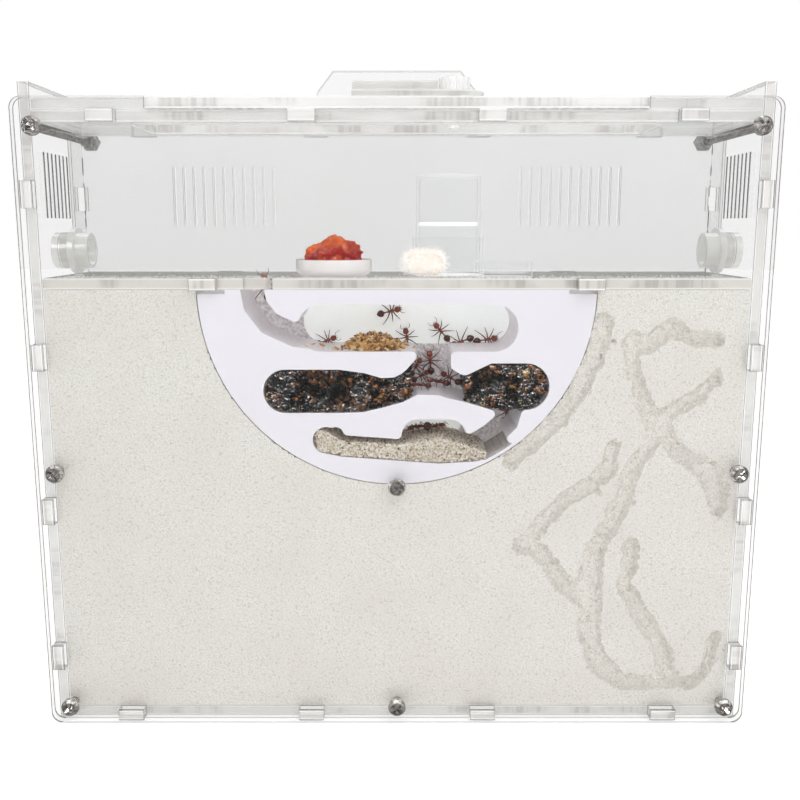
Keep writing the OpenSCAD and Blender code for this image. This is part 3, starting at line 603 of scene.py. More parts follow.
def random_turns(count):
    """Rotation matrices that point every way equally often."""
    spins = dice.normal(size=(4, count))
    w, x, y, z = spins / np.linalg.norm(spins, axis=0)
    return np.array([[1 - 2 * (y * y + z * z), 2 * (x * y - z * w), 2 * (x * z + y * w)],
                     [2 * (x * y + z * w), 1 - 2 * (x * x + z * z), 2 * (y * z - x * w)],
                     [2 * (x * z - y * w), 2 * (y * z + x * w), 1 - 2 * (x * x + y * y)]]
                    ).transpose(2, 0, 1)


def ball(rings, segments):
    """Corners and faces of a rough ball; two rings of four make a stone with sixteen faces."""
    corners = [(0, 0, 1)]
    for i in range(1, rings + 1):
        tilt = math.pi * i / (rings + 1)
        for j in range(segments):
            turn = 2 * math.pi * (j + i / 2) / segments
            corners.append((math.sin(tilt) * math.cos(turn), math.sin(tilt) * math.sin(turn),
                            math.cos(tilt)))
    corners.append((0, 0, -1))
    last = len(corners) - 1
    faces = []
    for j in range(segments):
        after = (j + 1) % segments
        faces.append((0, 1 + j, 1 + after))
        for i in range(rings - 1):
            here, below = 1 + i * segments, 1 + (i + 1) * segments
            faces.append((here + j, below + j, here + after))
            faces.append((here + after, below + j, below + after))
        start = 1 + (rings - 1) * segments
        faces.append((start + j, last, start + after))
    return np.array(corners), np.array(faces)


def make_mesh(name, corners, faces, finishes, picks=None):
    """An object from arrays of corners and faces, with one finish picked for each face."""
    data = bpy.data.meshes.new(name)
    data.from_pydata([tuple(corner) for corner in corners], [], [tuple(face) for face in faces])
    for finish in finishes:
        data.materials.append(finish.material)
    if picks is not None:
        data.polygons.foreach_set("material_index", np.asarray(picks, dtype=np.int32))
    piece = bpy.data.objects.new(name, data)
    bpy.context.scene.collection.objects.link(piece)
    return piece


def strew(name, places, sizes, finishes, shares, shape=(1, 0.8, 0.65), form=(2, 4), rough=0.18,
          turns=None, smooth=False):
    """One mesh of many stones at the given places; shares has one row for all or one for each."""
    base, base_faces = ball(*form)
    count = len(places)
    turns = random_turns(count) if turns is None else turns
    squeeze = np.array(shape) * dice.uniform(0.8, 1.2, (count, 3))
    corners = base[None] * squeeze[:, None] * dice.uniform(1 - rough, 1 + rough,
                                                           (count, len(base), 1))
    corners = np.einsum("nij,nkj->nki", turns, corners) * sizes[:, None, None]
    corners += np.asarray(places)[:, None]
    offsets = np.arange(count)[:, None, None] * len(base)
    faces = (base_faces[None] + offsets).reshape(-1, 3)
    limits = np.cumsum(np.broadcast_to(shares, (count, len(finishes))), axis=1)
    chosen = (dice.uniform(size=(count, 1)) > limits[:, :-1]).sum(axis=1)
    print(name, count, "stones,", len(faces), "faces")
    piece = make_mesh(name, corners.reshape(-1, 3), faces, finishes,
                      np.repeat(chosen, len(base_faces)))
    if smooth:
        piece.data.shade_smooth()
    return piece


# %% [markdown]
# Where do the stones of a heap go? On the skin of its CAD solid. A point is drawn on a triangle
# that is picked by its area, so that all of the skin is covered evenly. The same triangles make
# trees, with which Blender quickly finds where a ray hits a solid or how far off its skin is.


# %% Points on a solid's skin
def triangles(name):
    """The corners of a CAD node's triangles, as an array of N by 3 by 3."""
    data = nodes[name].data
    data.calc_loop_triangles()
    corners = np.empty(len(data.vertices) * 3)
    data.vertices.foreach_get("co", corners)
    picked = np.empty(len(data.loop_triangles) * 3, dtype=np.int32)
    data.loop_triangles.foreach_get("vertices", picked)
    return corners.reshape(-1, 3)[picked].reshape(-1, 3, 3)


def area_arrows(corners):
    """For each triangle an arrow that stands on it, and how long it is: twice the area."""
    arrows = np.cross(corners[:, 1] - corners[:, 0], corners[:, 2] - corners[:, 0])
    return arrows, np.linalg.norm(arrows, axis=1)


def ray_tree(corners):
    """A tree of triangles, for casting rays and finding the nearest point."""
    numbers = np.arange(len(corners) * 3).reshape(-1, 3)
    return BVHTree.FromPolygons(corners.reshape(-1, 3).tolist(), numbers.tolist())


TINY_AREA = 1e-15


def skin_points(name, count, share_of):
    """Random points and normals on a node's skin; share_of turns normals into how often."""
    corners = triangles(name)
    arrows, areas = area_arrows(corners)
    normals = arrows / np.maximum(areas, TINY_AREA)[:, None]
    weights = areas * share_of(normals)
    picks = dice.choice(len(corners), count, p=weights / weights.sum())
    u, v = dice.uniform(size=(2, count, 1))
    u, v = np.where(u + v > 1, 1 - u, u), np.where(u + v > 1, 1 - v, v)
    a, b, c = corners[picks].transpose(1, 0, 2)
    return a + u * (b - a) + v * (c - a), normals[picks]


# %% [markdown]
# The crumbs of a heap hide what lies below, but light must not shine through between them. So
# each heap has a core: the CAD solid, drawn in a little, rebuilt from small even faces by the
# Remesh modifier, and pushed in and out by a noise so that its outline is lumpy too.


# %% Lumpy core of a heap
def lumpy_core(name, node, finish, inset, voxel, lump, height, level=0.5):
    """A copy of a node's solid with a lumpy skin; the lower the level, the further it swells."""
    data = nodes[node].data.copy()
    data.materials.clear()
    data.materials.append(finish.material)
    core = bpy.data.objects.new(name, data)
    bpy.context.scene.collection.objects.link(core)
    remesh = core.modifiers.new("even faces", "REMESH")
    remesh.mode = "VOXEL"
    remesh.voxel_size = voxel
    even = bpy.data.meshes.new_from_object(core.evaluated_get(
        bpy.context.evaluated_depsgraph_get()))
    core.modifiers.clear()
    core.data = even
    even.name = name
    for vertex, normal in zip(even.vertices, [tuple(v.normal) for v in even.vertices]):
        swell = noise.noise(vertex.co / lump) * 0.7 + noise.noise(vertex.co / lump * 2.7) * 0.3
        vertex.co += Vector(normal) * (height * (swell - level) - inset)
    even.shade_smooth()
    print(name, len(even.polygons), "faces")
    return core


# %% [markdown]
# ## Sand
# The sand lies against the front pane, and the ants have dug tunnels in it along the pane. The
# frame gives the tunnels as plain grooves. A fan of rays finds them, a blur rounds them off, and
# noise frays their rims: sand breaks off in grains, so no tunnel has a clean edge. The result is
# a height field, closed round the sides and at the back, that takes the place of the solid.

# %% Maps over the sand
SAND_CELL = 0.55 * MM
sand_low, sand_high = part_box("sand_fill")
sand_wide = int((sand_high.x - sand_low.x) / SAND_CELL)
sand_tall = int((sand_high.z - sand_low.z) / SAND_CELL)
sand_x = np.linspace(sand_low.x, sand_high.x, sand_wide)
sand_z = np.linspace(sand_low.z, sand_high.z, sand_tall)


def gauss(values, sigma):
    """A map blurred with a bell curve of sigma cells."""
    fy = np.fft.fftfreq(values.shape[0])[:, None]
    fx = np.fft.rfftfreq(values.shape[1])[None]
    bell = np.exp(-2 * (math.pi * sigma) ** 2 * (fx ** 2 + fy ** 2))
    return np.fft.irfft2(np.fft.rfft2(values) * bell, values.shape)


def grain_map(sigma):
    """A random map with lumps of about sigma cells, most of it between -1 and 1."""
    lumps = gauss(dice.normal(size=(sand_tall, sand_wide)), sigma)
    return lumps / lumps.std() / 2


sand_tree = ray_tree(triangles("sand_fill"))
ahead = Vector((0, 1, 0))
dug = np.zeros((sand_tall, sand_wide))
for row, z in enumerate(sand_z):
    for column, x in enumerate(sand_x):
        hit = sand_tree.ray_cast(Vector((x, sand_low.y - 0.01, z)), ahead)[0]
        dug[row, column] = -1 if hit is None else hit.y > sand_low.y + 1 * MM
print("sand map", dug.shape, "dug", round(float((dug == 1).mean()), 3))

# %% Front of the sand
RIM_REACH = 4.0
TUNNEL_DEPTH = 2.3 * MM
by_tunnel = np.clip(gauss((dug == 1).astype(float), RIM_REACH) * 6, 0, 1)
fray = 0.2 * grain_map(0.9) + 0.2 * grain_map(2.4) + 0.12 * grain_map(5.0)
frayed = gauss((dug == 1).astype(float), 1.5) + by_tunnel * fray
groove = np.clip((frayed - 0.34) / 0.34, 0, 1)
groove = groove * groove * (3 - 2 * groove)
pits = np.clip(grain_map(0.8), 0, 2) * 0.05 * MM
sand_y = sand_low.y + pits + groove * (TUNNEL_DEPTH + 0.3 * MM * grain_map(1.2))
sand_y = np.maximum(sand_y, sand_low.y)

# %% Closed body of sand
disc_height = block_high.z
disc_radius = block_radius + 0.3 * MM
grid_x, grid_z = np.meshgrid(sand_x, sand_z)
from_centre = np.hypot(grid_x, grid_z - disc_height)
near_rim = np.abs(from_centre - disc_radius) < SAND_CELL * 0.6
pull = np.where(near_rim, disc_radius / np.maximum(from_centre, MM), 1)
grid_x, grid_z = grid_x * pull, disc_height + (grid_z - disc_height) * pull
grid_z = np.minimum(grid_z, sand_high.z)
kept = (from_centre > disc_radius - SAND_CELL * 0.6) | near_rim
numbers = np.cumsum(kept).reshape(kept.shape) - 1
front = np.stack([grid_x, sand_y, grid_z], axis=-1)[kept]
whole = kept[:-1, :-1] & kept[:-1, 1:] & kept[1:, 1:] & kept[1:, :-1]
quads = np.stack([numbers[:-1, :-1], numbers[:-1, 1:], numbers[1:, 1:], numbers[1:, :-1]],
                 axis=-1)[whole]
sand_builder = bmesh.new()
for corner in front:
    sand_builder.verts.new(corner)
sand_builder.verts.ensure_lookup_table()
for quad in quads:
    sand_builder.faces.new([sand_builder.verts[i] for i in quad])
rim_edges = [edge for edge in sand_builder.edges if edge.is_boundary]
grown = bmesh.ops.extrude_edge_only(sand_builder, edges=rim_edges)["geom"]
back_edges = [item for item in grown if isinstance(item, bmesh.types.BMEdge) and item.is_boundary]
for vertex in {vertex for edge in back_edges for vertex in edge.verts}:
    vertex.co.y = sand_high.y
bmesh.ops.triangle_fill(sand_builder, edges=back_edges, use_beauty=True)
loose = [vertex for vertex in sand_builder.verts if not vertex.link_faces]
bmesh.ops.delete(sand_builder, geom=loose, context="VERTS")
bmesh.ops.recalc_face_normals(sand_builder, faces=sand_builder.faces)

sand = Finish("sand", Roughness=0.9)
sand_depth = sand.split(sand.coordinates())[1] - sand_low.y
in_tunnel = (sand_depth / MM).ramp(0.25, 2.2) * (1 - (sand_depth / MM).above(12.0))
fine = sand.noise(2300.0, 2.0, 0.7)
drift = sand.noise(55.0, 3.0)
speck = sand.noise(1500.0, 1.0).ramp(0.60, 0.70)
bed = sand.blend(fine.ramp(0.3, 0.7), paint(221, 217, 210), paint(249, 247, 242))
bed = sand.blend(drift.ramp(0.35, 0.7) * 0.35, bed, paint(230, 225, 216))
bed = sand.blend(speck * 0.45, bed, paint(192, 184, 172))
# In the tunnels the sand is painted a little lighter than the bed: painted light against the shade of
# their depth.
dug_paint = sand.blend(fine.ramp(0.35, 0.65), paint(228, 223, 215), paint(252, 250, 246))
sand.set("Base Color", sand.blend(in_tunnel, bed, dug_paint))
sand.bump(fine, 0.25 * MM, 0.5)

sand_mesh = bpy.data.meshes.new("sand_body")
sand_builder.to_mesh(sand_mesh)
sand_builder.free()
sand_mesh.materials.append(sand.material)
sand_body = bpy.data.objects.new("sand_body", sand_mesh)
bpy.context.scene.collection.objects.link(sand_body)
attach(sand_body, "root")
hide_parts("sand_fill")
print("sand body", len(sand_mesh.polygons), "faces")

# %% [markdown]
# Where the ants have dug, the finest grains are gone and coarse clear quartz is left. These
# grains are strewn along the rims and over the floors of the tunnels, by the same map.

# %% Coarse grains in the tunnels
quartz = speckled("quartz", 700.0, paint(240, 238, 232), paint(255, 254, 252), Roughness=0.25,
                  IOR=1.5)
dull_quartz = speckled("dull_quartz", 700.0, paint(206, 200, 189), paint(238, 234, 226),
                       Roughness=0.5)
TUNNEL_GRAINS = 9500
likely = np.where(kept & (dug >= 0), np.clip(frayed - 0.2, 0, 0.5), 0)
likely[np.abs(groove - 0.4) < 0.35] *= 2
spots = dice.choice(likely.size, TUNNEL_GRAINS, p=(likely / likely.sum()).ravel())
rows, columns = np.unravel_index(spots, likely.shape)
grain_sizes = (0.17 + dice.gamma(1.6, 0.09, TUNNEL_GRAINS)).clip(0.17, 0.6) * MM
shift = dice.uniform(-0.5, 0.5, (2, TUNNEL_GRAINS)) * SAND_CELL
grain_y = np.maximum(sand_y[rows, columns], sand_low.y + grain_sizes)
grain_places = np.stack([sand_x[columns] + shift[0], grain_y, sand_z[rows] + shift[1]], axis=1)
tunnel_grains = strew("tunnel_grains", grain_places, grain_sizes, [sand, quartz, dull_quartz],
                      [0.3, 0.35, 0.35], form=(1, 4))
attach(tunnel_grains, "root")

# %% [markdown]
# ## Soil in the chambers
# The two middle chambers are packed with wet soil: black crumbs, brown bark and a few orange
# chips, pressed against the pane and shining where they are wet. A nearly black finish under a
# thin, very smooth coat gives deep darks with small sharp lights. The coat is left out in
# patches, so that some crumbs look dry.

# %% Soil finishes
def wet(name, dark, light, scale=500.0, roughness=0.16):
    """Finish of a wet crumb between two colours."""
    finish = Finish(name, Roughness=roughness, Coat_Roughness=0.03, Coat_IOR=1.75,
                    Specular_IOR_Level=0.1)
    mottle = finish.noise(scale, 3.0)
    finish.set("Base Color", finish.blend(mottle.ramp(0.35, 0.65), dark, light))
    finish.set("Coat Weight", finish.noise(220.0, 1.0).ramp(0.42, 0.54))
    finish.bump(finish.noise(scale * 0.8, 1.5), 0.1 * MM, 0.12)
    return finish


humus = wet("humus", paint(3, 3, 3), paint(20, 15, 12))
bark = wet("bark", paint(34, 22, 15), paint(92, 60, 40))
chips = wet("chips", paint(96, 56, 32), paint(168, 106, 62))
straw = wet("straw", paint(130, 104, 62), paint(190, 164, 112), roughness=0.4)


# %% Soil heaps
def outward(normals):
    """A full share for faces that the pane shows, less for those that look up, else none."""
    return (normals[:, 1] < -0.5) * 1.0 + (normals[:, 2] > 0.3) * 0.25


def pane_turns(count, tilt):
    """Turns that lay a stone's flat side against the pane, tipped by about tilt radians."""
    made = []
    spins = dice.uniform(0, 2 * math.pi, count)
    nods = dice.normal(size=count) * tilt
    sways = dice.normal(size=count) * tilt
    for spin, nod, sway in zip(spins, nods, sways):
        tip = Matrix.Rotation(math.pi / 2 + nod, 3, "X") @ Matrix.Rotation(sway, 3, "Y")
        made.append(np.array(tip @ Matrix.Rotation(spin, 3, "Z")))
    return np.array(made)


def heap_of_soil(name, node, count, plain, woody):
    """A dark core under crumbs; the crumbs change from plain to woody shares in patches."""
    core = lumpy_core(name + "_core", node, humus, 0.25 * MM, 0.6 * MM, 2.2 * MM, 0.8 * MM)
    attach(core, "root")
    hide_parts(node)
    places, normals = skin_points(node, count, outward)
    sizes = dice.gamma(2.0, 0.5, count).clip(0.35, 2.4) * MM
    corners = triangles(node)
    arrows, areas = area_arrows(corners)
    sides = ray_tree(corners[np.abs(arrows[:, 1]) < areas * 0.5])
    room = np.array([sides.find_nearest(Vector(place))[3] for place in places])
    sizes = np.minimum(sizes, room + 0.3 * MM)
    places -= normals * (sizes * dice.uniform(0.45, 0.75, count))[:, None]
    patches = np.array([noise.noise(Vector(place) / (7 * MM)) for place in places])
    woodiness = np.clip(patches * 3 + 0.3, 0, 1)[:, None]
    crumbs = strew(name + "_crumbs", places, sizes, [humus, bark, chips, straw],
                   np.array(plain) * (1 - woodiness) + np.array(woody) * woodiness,
                   shape=(1.0, 0.65, 0.42), form=(4, 7), rough=0.16,
                   turns=pane_turns(count, 0.36), smooth=True)
    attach(crumbs, "root")


heap_of_soil("left_soil", "left_soil", 1300, [0.78, 0.18, 0.03, 0.01], [0.32, 0.52, 0.12, 0.04])
heap_of_soil("right_soil", "right_soil", 800, [0.86, 0.11, 0.02, 0.01], [0.44, 0.36, 0.18, 0.02])

# %% [markdown]
# ## Sand chamber
# The lowest gallery holds coarser sand than the case, cream and beige with brown specks.

# %% Coarse chamber sand
cream_grain = speckled("cream_grain", 600.0, paint(228, 220, 204), paint(253, 250, 243),
                       Roughness=0.5)
beige_grain = speckled("beige_grain", 600.0, paint(174, 157, 132), paint(224, 211, 188),
                       Roughness=0.6)
brown_grain = speckled("brown_grain", 600.0, paint(88, 58, 38), paint(140, 100, 66),
                       Roughness=0.6)
chamber_core = lumpy_core("chamber_sand_core", "chamber_sand", beige_grain, 0.2 * MM, 0.6 * MM,
                          1.6 * MM, 0.5 * MM)
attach(chamber_core, "root")
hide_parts("chamber_sand")
CHAMBER_GRAINS = 5200
places, normals = skin_points("chamber_sand", CHAMBER_GRAINS, outward)
sizes = dice.uniform(0.22, 0.46, CHAMBER_GRAINS) * MM
places -= normals * (sizes * dice.uniform(0.5, 1.1, CHAMBER_GRAINS))[:, None]
chamber_grains = strew("chamber_sand_grains", places, sizes,
                       [cream_grain, beige_grain, brown_grain], [0.72, 0.24, 0.04], form=(1, 5))
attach(chamber_grains, "root")

# %% [markdown]
# ## Seeds
# The colony has carried grass seeds into the upper chamber. A seed is a long grain with pointed
# ends; most lie flat, so their turns are small tilts of a turn about the vertical.


# %% Seed heap
def flat_turns(count, tilt):
    """Turns about the vertical, tipped by up to tilt radians."""
    made = []
    for _ in range(count):
        lean = Matrix.Rotation(float(dice.normal() * tilt), 3, "Y")
        roll = Matrix.Rotation(float(dice.uniform(0, 2 * math.pi)), 3, "X")
        face = Matrix.Rotation(float(dice.uniform(0, 2 * math.pi)), 3, "Z")
        made.append(np.array(face @ lean @ roll))
    return np.array(made)


def not_below(normals):
    """A full share for all faces but those that look down."""
    return (normals[:, 2] > -0.5) * 1.0


def seed_coat(name, dark, light):
    finish = Finish(name, Roughness=0.42)
    grain = finish.noise(400.0, 3.0)
    finish.set("Base Color", finish.blend(grain.ramp(0.3, 0.7), dark, light))
    finish.bump(grain, 0.08 * MM, 0.5)
    return finish


seed_coats = [seed_coat("gold_seed", paint(188, 136, 72), paint(226, 184, 118)),
              seed_coat("straw_seed", paint(220, 190, 138), paint(246, 228, 188)),
              seed_coat("brown_seed", paint(112, 66, 34), paint(164, 106, 60))]
seed_core = lumpy_core("seed_heap_core", "seed_heap", seed_coats[0], 0.5 * MM, 0.4 * MM,
                       2.4 * MM, 1.6 * MM)
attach(seed_core, "root")
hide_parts("seed_heap")
HEAP_SEEDS = 380
LOOSE_SEEDS = 70
heap_low, heap_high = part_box("seed_heap")
places, normals = skin_points("seed_heap", HEAP_SEEDS, not_below)
dents = np.array([noise.noise(Vector(place) / (3.5 * MM)) for place in places])
places -= normals * ((np.clip(dents, -0.1, 1) * 2.2 + 0.35) * MM)[:, None]
block_tree = ray_tree(triangles("gallery_block"))
loose_places = []
while len(loose_places) < LOOSE_SEEDS:
    x = float(dice.normal((heap_low.x + heap_high.x) / 2, (heap_high.x - heap_low.x) * 0.42))
    y = float(dice.uniform(heap_low.y + 1.5 * MM, heap_high.y - 1 * MM))
    start = Vector((x, y, heap_high.z))
    hit = block_tree.ray_cast(start, Vector((0, 0, -1)))[0]
    if hit is not None and abs(hit.z - heap_low.z) < 1.5 * MM:
        loose_places.append((x, y, hit.z + 0.35 * MM))
places = np.concatenate([places, loose_places])
places[:, 2] = np.maximum(places[:, 2], heap_low.z + 0.3 * MM)
sizes = dice.uniform(0.7, 1.4, len(places)) * MM
seeds = strew("seeds", places, sizes, seed_coats, [0.42, 0.32, 0.26], shape=(1.0, 0.3, 0.24),
              form=(4, 6), rough=0.06, turns=flat_turns(len(places), 0.55), smooth=True)
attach(seeds, "root")

# %% [markdown]
# ## Jelly
# The food is a spoonful of crushed jelly: a heap of soft lumps with sharp wet edges. A noise
# paints it deep red in patches and orange in others; the orange is painted light, standing for
# light that comes through. Scattering under the surface gives the glow, and a coat gives the wet
# shine.

# %% Jelly heap
jelly = Finish("jelly", Roughness=0.2, Specular_IOR_Level=0.1, Coat_Roughness=0.03, Coat_IOR=1.5,
               Subsurface_Weight=0.06, Subsurface_Scale=0.001, IOR=1.36)
painted_light_through = jelly.noise(170.0, 3.0)
grains = jelly.noise(900.0, 2.0)
# Painted light: orange patches stand for light coming through the jelly.
jelly.set("Base Color", jelly.blend(painted_light_through.ramp(0.4, 0.66), paint(172, 14, 3), paint(236, 104, 10)))
jelly.set("Coat Weight", grains * 0.4 + 0.4)
jelly.bump(grains, 0.2 * MM, 0.3)
jelly_heap = lumpy_core("jelly_heap", "food_jelly", jelly, 0.1 * MM, 0.35 * MM, 1.7 * MM, 1.5 * MM,
                        level=0.02)
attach(jelly_heap, "food_dish")
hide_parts("food_jelly")

# %% [markdown]
# ## Cotton
# A tuft of cotton wool closes the drinking port. Cotton is a cloud of fine curled fibres, so a
# soft core carries three thousand short hairs, each a thin three-sided thread that bends once.


# %% Cotton wick
# The cotton glows faintly in its own colour: painted light that brightens it.
cotton = Finish("cotton", Roughness=0.95, Sheen_Weight=0.2, Emission_Strength=0.2)
cloud = cotton.noise(350.0, 3.0)
cotton_paint_and_glow = cotton.blend(cloud.ramp(0.4, 0.6), paint(250, 244, 237), paint(254, 253, 251))
cotton.set("Base Color", cotton_paint_and_glow)
cotton.set("Emission Color", cotton_paint_and_glow)
cotton.bump(cotton.noise(1200.0, 3.0), 0.3 * MM, 0.8)
cotton_core = lumpy_core("cotton_core", "cotton_wick", cotton, 0.5 * MM, 0.45 * MM, 1.6 * MM,
                         1.4 * MM)
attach(cotton_core, "root")
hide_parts("cotton_wick")
HAIRS = 3000
HAIR_RADIUS = 0.05 * MM
roots, normals = skin_points("cotton_wick", HAIRS, not_below)
roots -= normals * 0.7 * MM
reach = dice.uniform(0.8, 2.0, (HAIRS, 1)) * MM
lean = normals + dice.normal(size=(HAIRS, 3)) * 0.7
lean /= np.linalg.norm(lean, axis=1)[:, None]
curl = dice.normal(size=(HAIRS, 3)) * 0.5
path = np.stack([roots, roots + lean * reach * 0.5, roots + (lean + curl * 0.6) * reach], axis=1)
path[:, :, 2] = np.maximum(path[:, :, 2], shelf_top + 0.1 * MM)
ring = dice.normal(size=(HAIRS, 3, 3))
ring -= ring.mean(axis=1, keepdims=True)
ring *= HAIR_RADIUS / np.linalg.norm(ring, axis=2, keepdims=True)
widths = np.array([1.0, 0.8, 0.4])
corners = path[:, :, None] + ring[:, None] * widths[None, :, None, None]
pattern = [(3 * i + j, 3 * i + (j + 1) % 3, 3 * i + 3 + (j + 1) % 3, 3 * i + 3 + j)
           for i in range(2) for j in range(3)]
faces = (np.array(pattern)[None] + np.arange(HAIRS)[:, None, None] * 9).reshape(-1, 4)
hairs = make_mesh("cotton_hairs", corners.reshape(-1, 3), faces, [cotton])
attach(hairs, "root")

# %% [markdown]
# ## Spilt sand
# Handling the dishes drops sand on the shelf. Most grains lie along the front pane, where the
# shelf is hard to wipe; none lies under a dish, in the cup or over the hole to the nest.

# %% Grains on the shelf
SPILT = 3200
shelf_low, shelf_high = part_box("shelf")
spill_x = dice.uniform(shelf_low.x + 4 * MM, shelf_high.x - 4 * MM, SPILT)
spill_y = room_front + 0.3 * MM + dice.gamma(1.2, 2.2, SPILT) * MM
shelf_tree = ray_tree(triangles("shelf"))
spill_places = []
keep_off = [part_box(name) for name in ("food_dish", "water_dish", "drinker_cup", "cotton_wick",
                                      "left_plug", "right_plug")]
for x, y in zip(spill_x, spill_y):
    free = not any(low.x - MM < x < high.x + MM and low.y - MM < y < high.y + MM
                   for low, high in keep_off)
    hit = shelf_tree.ray_cast(Vector((x, y, shelf_high.z + MM)), Vector((0, 0, -1)))[0]
    if free and hit is not None and hit.z > shelf_high.z - 0.5 * MM:
        spill_places.append((x, y, shelf_high.z + 0.12 * MM))
spilt = strew("spilt_sand", spill_places, dice.uniform(0.12, 0.3, len(spill_places)) * MM,
              [sand, quartz, dull_quartz], [0.4, 0.4, 0.2], form=(1, 4))
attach(spilt, "root")

# %% [markdown]
# ## Ants
# Sixteen workers live in the nest. An ant is a chain of round parts: head, middle and gaster,
# joined by a thin waist, with six legs of three lengths, two bent feelers and two jaws. One
# function sweeps rings of given width and height along a path, and makes every one of them.


# %% Sweeping rings along a path
def sweep(path, radii, sides=8):
    """Corners and faces of a closed limb along a path; a radius is a number or (wide, high)."""
    points = [Vector(point) for point in path]
    corners = []
    for i, point in enumerate(points):
        way = (points[min(i + 1, len(points) - 1)] - points[max(i - 1, 0)]).normalized()
        across = way.cross(Vector((0, 0, 1)))
        across = across.normalized() if across.length > 0.05 else Vector((0, 1, 0))
        lift = across.cross(way)
        wide, high = radii[i] if isinstance(radii[i], tuple) else (radii[i], radii[i])
        for j in range(sides):
            turn = 2 * math.pi * j / sides
            corners.append(point + across * wide * math.cos(turn) + lift * high * math.sin(turn))
    faces = [tuple(range(sides)), tuple(range(len(corners) - 1, len(corners) - sides - 1, -1))]
    for i in range(len(points) - 1):
        for j in range(sides):
            after = (j + 1) % sides
            faces.append((i * sides + j, i * sides + after, (i + 1) * sides + after,
                          (i + 1) * sides + j))
    return corners, faces


# %% One ant, 6.6 mm from jaws to tip, standing on its feet and looking along +X
BODY = [(-3.5, 1.0, 0.05, 0.05), (-3.3, 1.02, 0.32, 0.3), (-2.9, 1.1, 0.62, 0.58),
        (-2.4, 1.18, 0.76, 0.7), (-1.9, 1.2, 0.66, 0.62), (-1.6, 1.16, 0.36, 0.36),
        (-1.45, 1.12, 0.14, 0.16), (-1.25, 1.16, 0.2, 0.28), (-1.05, 1.1, 0.12, 0.14),
        (-0.85, 1.14, 0.17, 0.24), (-0.65, 1.12, 0.14, 0.16), (-0.5, 1.2, 0.28, 0.32),
        (-0.2, 1.3, 0.33, 0.38), (0.1, 1.27, 0.26, 0.3), (0.35, 1.36, 0.36, 0.4),
        (0.7, 1.38, 0.38, 0.42), (1.0, 1.32, 0.24, 0.28), (1.15, 1.27, 0.14, 0.16),
        (1.3, 1.26, 0.4, 0.32), (1.6, 1.26, 0.62, 0.45), (2.0, 1.22, 0.66, 0.47),
        (2.4, 1.12, 0.54, 0.38), (2.7, 1.0, 0.36, 0.24), (2.82, 0.94, 0.16, 0.12)]
LEGS = [[(0.75, 0.28, 1.1), (1.35, 1.25, 1.75), (1.95, 2.05, 0.75), (2.35, 2.55, 0.04)],
        [(0.35, 0.3, 1.05), (0.35, 1.55, 1.85), (0.25, 2.45, 0.8), (0.2, 3.05, 0.04)],
        [(-0.15, 0.28, 1.05), (-0.85, 1.4, 1.95), (-1.75, 2.3, 0.85), (-2.45, 2.95, 0.04)]]
FEELER = [(2.4, 0.28, 1.3), (2.85, 0.85, 1.75), (3.05, 1.15, 1.9), (3.6, 1.25, 1.55),
          (4.15, 1.2, 1.2)]
JAW = [(2.6, 0.3, 0.98), (2.98, 0.34, 0.92), (3.2, 0.06, 0.9)]

PLUMP = 1.25
shell = Finish("ant_shell", Roughness=0.28, Coat_Roughness=0.1)
length_way = shell.split(shell.coordinates())[0]
tone = shell.noise(900.0, 2.0)
front_half = (length_way / MM).ramp(-1.7, -0.9)
red_brown = shell.blend(tone, paint(116, 46, 28), paint(166, 78, 48))
dark_brown = shell.blend(tone, paint(58, 26, 20), paint(112, 50, 34))
shell.set("Base Color", shell.blend(front_half, dark_brown, red_brown))
shell.set("Coat Weight", tone * 0.5)
legs_brown = speckled("ant_legs", 800.0, paint(70, 34, 26), paint(126, 64, 44), Roughness=0.4)


def make_ant(name, size, stoop):
    """One ant's mesh at the origin, its limbs bent a little at random."""
    corners, faces, picks = [], [], []

    def add(part, pick):
        start = len(corners)
        corners.extend(tuple(corner * MM * size) for corner in part[0])
        faces.extend(tuple(start + i for i in face) for face in part[1])
        picks.extend([pick] * len(part[1]))

    add(sweep([(x, 0, z + stoop * x) for x, z, _, _ in BODY],
              [(w * PLUMP, h * PLUMP) for *_, w, h in BODY], 10), 0)
    for side in (-1, 1):
        for limb, radii, sway in [(leg, [0.17, 0.14, 0.1, 0.05], 0.35) for leg in LEGS] + [
                (FEELER, [0.09, 0.08, 0.08, 0.07, 0.05], 0.3), (JAW, [0.12, 0.09, 0.03], 0.0)]:
            path = [Vector((x, y * side, z)) for x, y, z in limb]
            drift = Vector((float(dice.normal()), float(dice.normal()) * 0.6, 0)) * sway
            for i in range(1, len(path)):
                path[i] += drift * i / len(path)
            add(sweep(path, radii, 6), 0 if limb is JAW else 1)
    ant = make_mesh(name, corners, faces, [shell, legs_brown], picks)
    ant.data.shade_smooth()
    return ant


# %% [markdown]
# An ant clings to whatever is under its feet: a floor, a back wall, soil or seeds. So each is
# given by where the photograph shows it and by the way it heads on the picture. A ray from the
# camera finds the surface there, and the ant stands on that surface, seen from any side. Only
# the first one is placed as given: it climbs the front wall of the hole in the shelf.

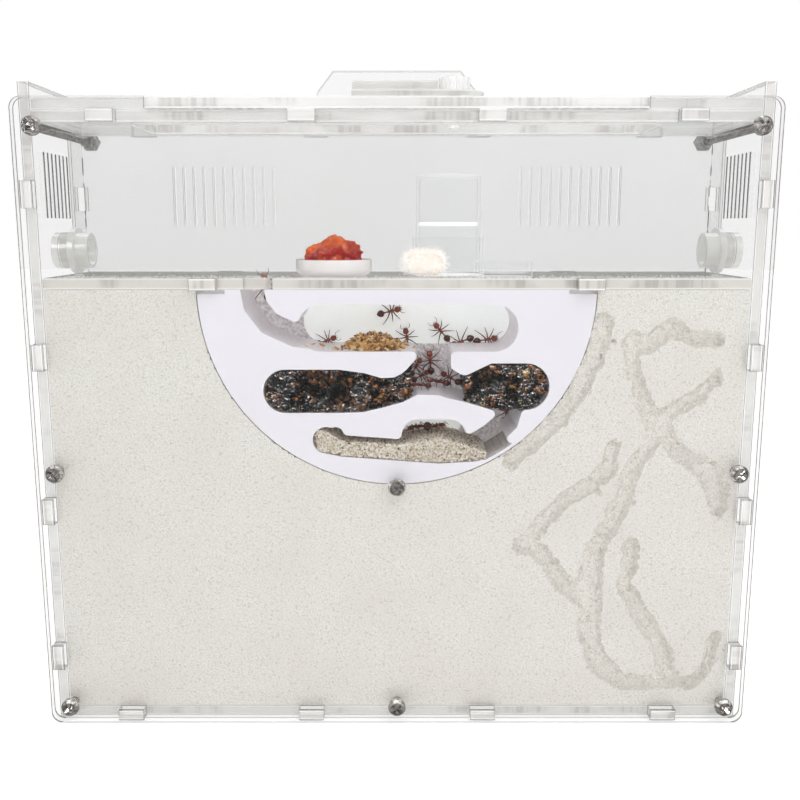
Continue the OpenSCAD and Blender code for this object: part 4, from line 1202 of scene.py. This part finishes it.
# %% Where the ants stand
ANTS = [((265, 287), 100, 1.2), ((327, 340), 20, 1.05), ((390, 311), 15, 1.15),
        ((407, 338), 100, 1.1), ((441, 331), 130, 1.1), ((461, 341), 200, 1.15),
        ((486, 339), 10, 1.15), ((430, 361), 95, 1.15), ((416, 366), 60, 1.0),
        ((421, 375), 30, 1.0), ((420, 389), 200, 0.95), ((437, 386), 175, 1.1),
        ((450, 377), 150, 1.1), ((419, 431), 220, 1.15), ((436, 430), 15, 1.0),
        ((506, 411), 80, 1.0)]
HOLE_CLIMBER = 1
HOLE_WALL = room_front + 1.5 * MM
STOOP = 0.03
GROUNDS = ["gallery_block", "left_soil", "right_soil", "chamber_sand", "seed_heap", "sand_fill"]
ground_trees = [ray_tree(triangles(name)) for name in GROUNDS]
bpy.context.view_layer.update()
eye = camera.matrix_world


def through_pixel(x, y):
    """Direction in space of a pixel of the photograph."""
    across = (x - CENTRE_PIXEL) / FOCAL_PIXELS
    up = (PHOTO_SIDE / 2 - y) / FOCAL_PIXELS
    return (eye.to_3x3() @ Vector((across, up, -1))).normalized()


for number, (pixel, heading, size) in enumerate(ANTS, 1):
    sight = through_pixel(*pixel)
    hits = [tree.ray_cast(eye.translation, sight) for tree in ground_trees]
    place, normal, _, _ = min((hit for hit in hits if hit[0]), key=lambda hit: hit[3])
    normal = normal if normal.dot(sight) < 0 else -normal
    if number == HOLE_CLIMBER:
        place = eye.translation + sight * ((HOLE_WALL - eye.translation.y) / sight.y)
        normal = Vector((0, 1, 0))
    turn = math.radians(heading)
    ahead_on_picture = eye.to_3x3() @ Vector((math.cos(turn), math.sin(turn), 0))
    forward = ahead_on_picture - normal * ahead_on_picture.dot(normal)
    if forward.length < 0.3:
        forward = Vector((math.cos(turn), 0, 0)) - normal * math.cos(turn) * normal.x
    forward.normalize()
    ant = make_ant(f"ant_{number:02d}", size, STOOP)
    stance = Matrix((forward, normal.cross(forward), normal)).transposed()
    ant.matrix_world = Matrix.Translation(place) @ stance.to_4x4()
    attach(ant, "root")
    print(ant.name, "at", tuple(round(c / MM, 1) for c in place), "on normal",
          tuple(round(c, 2) for c in normal))
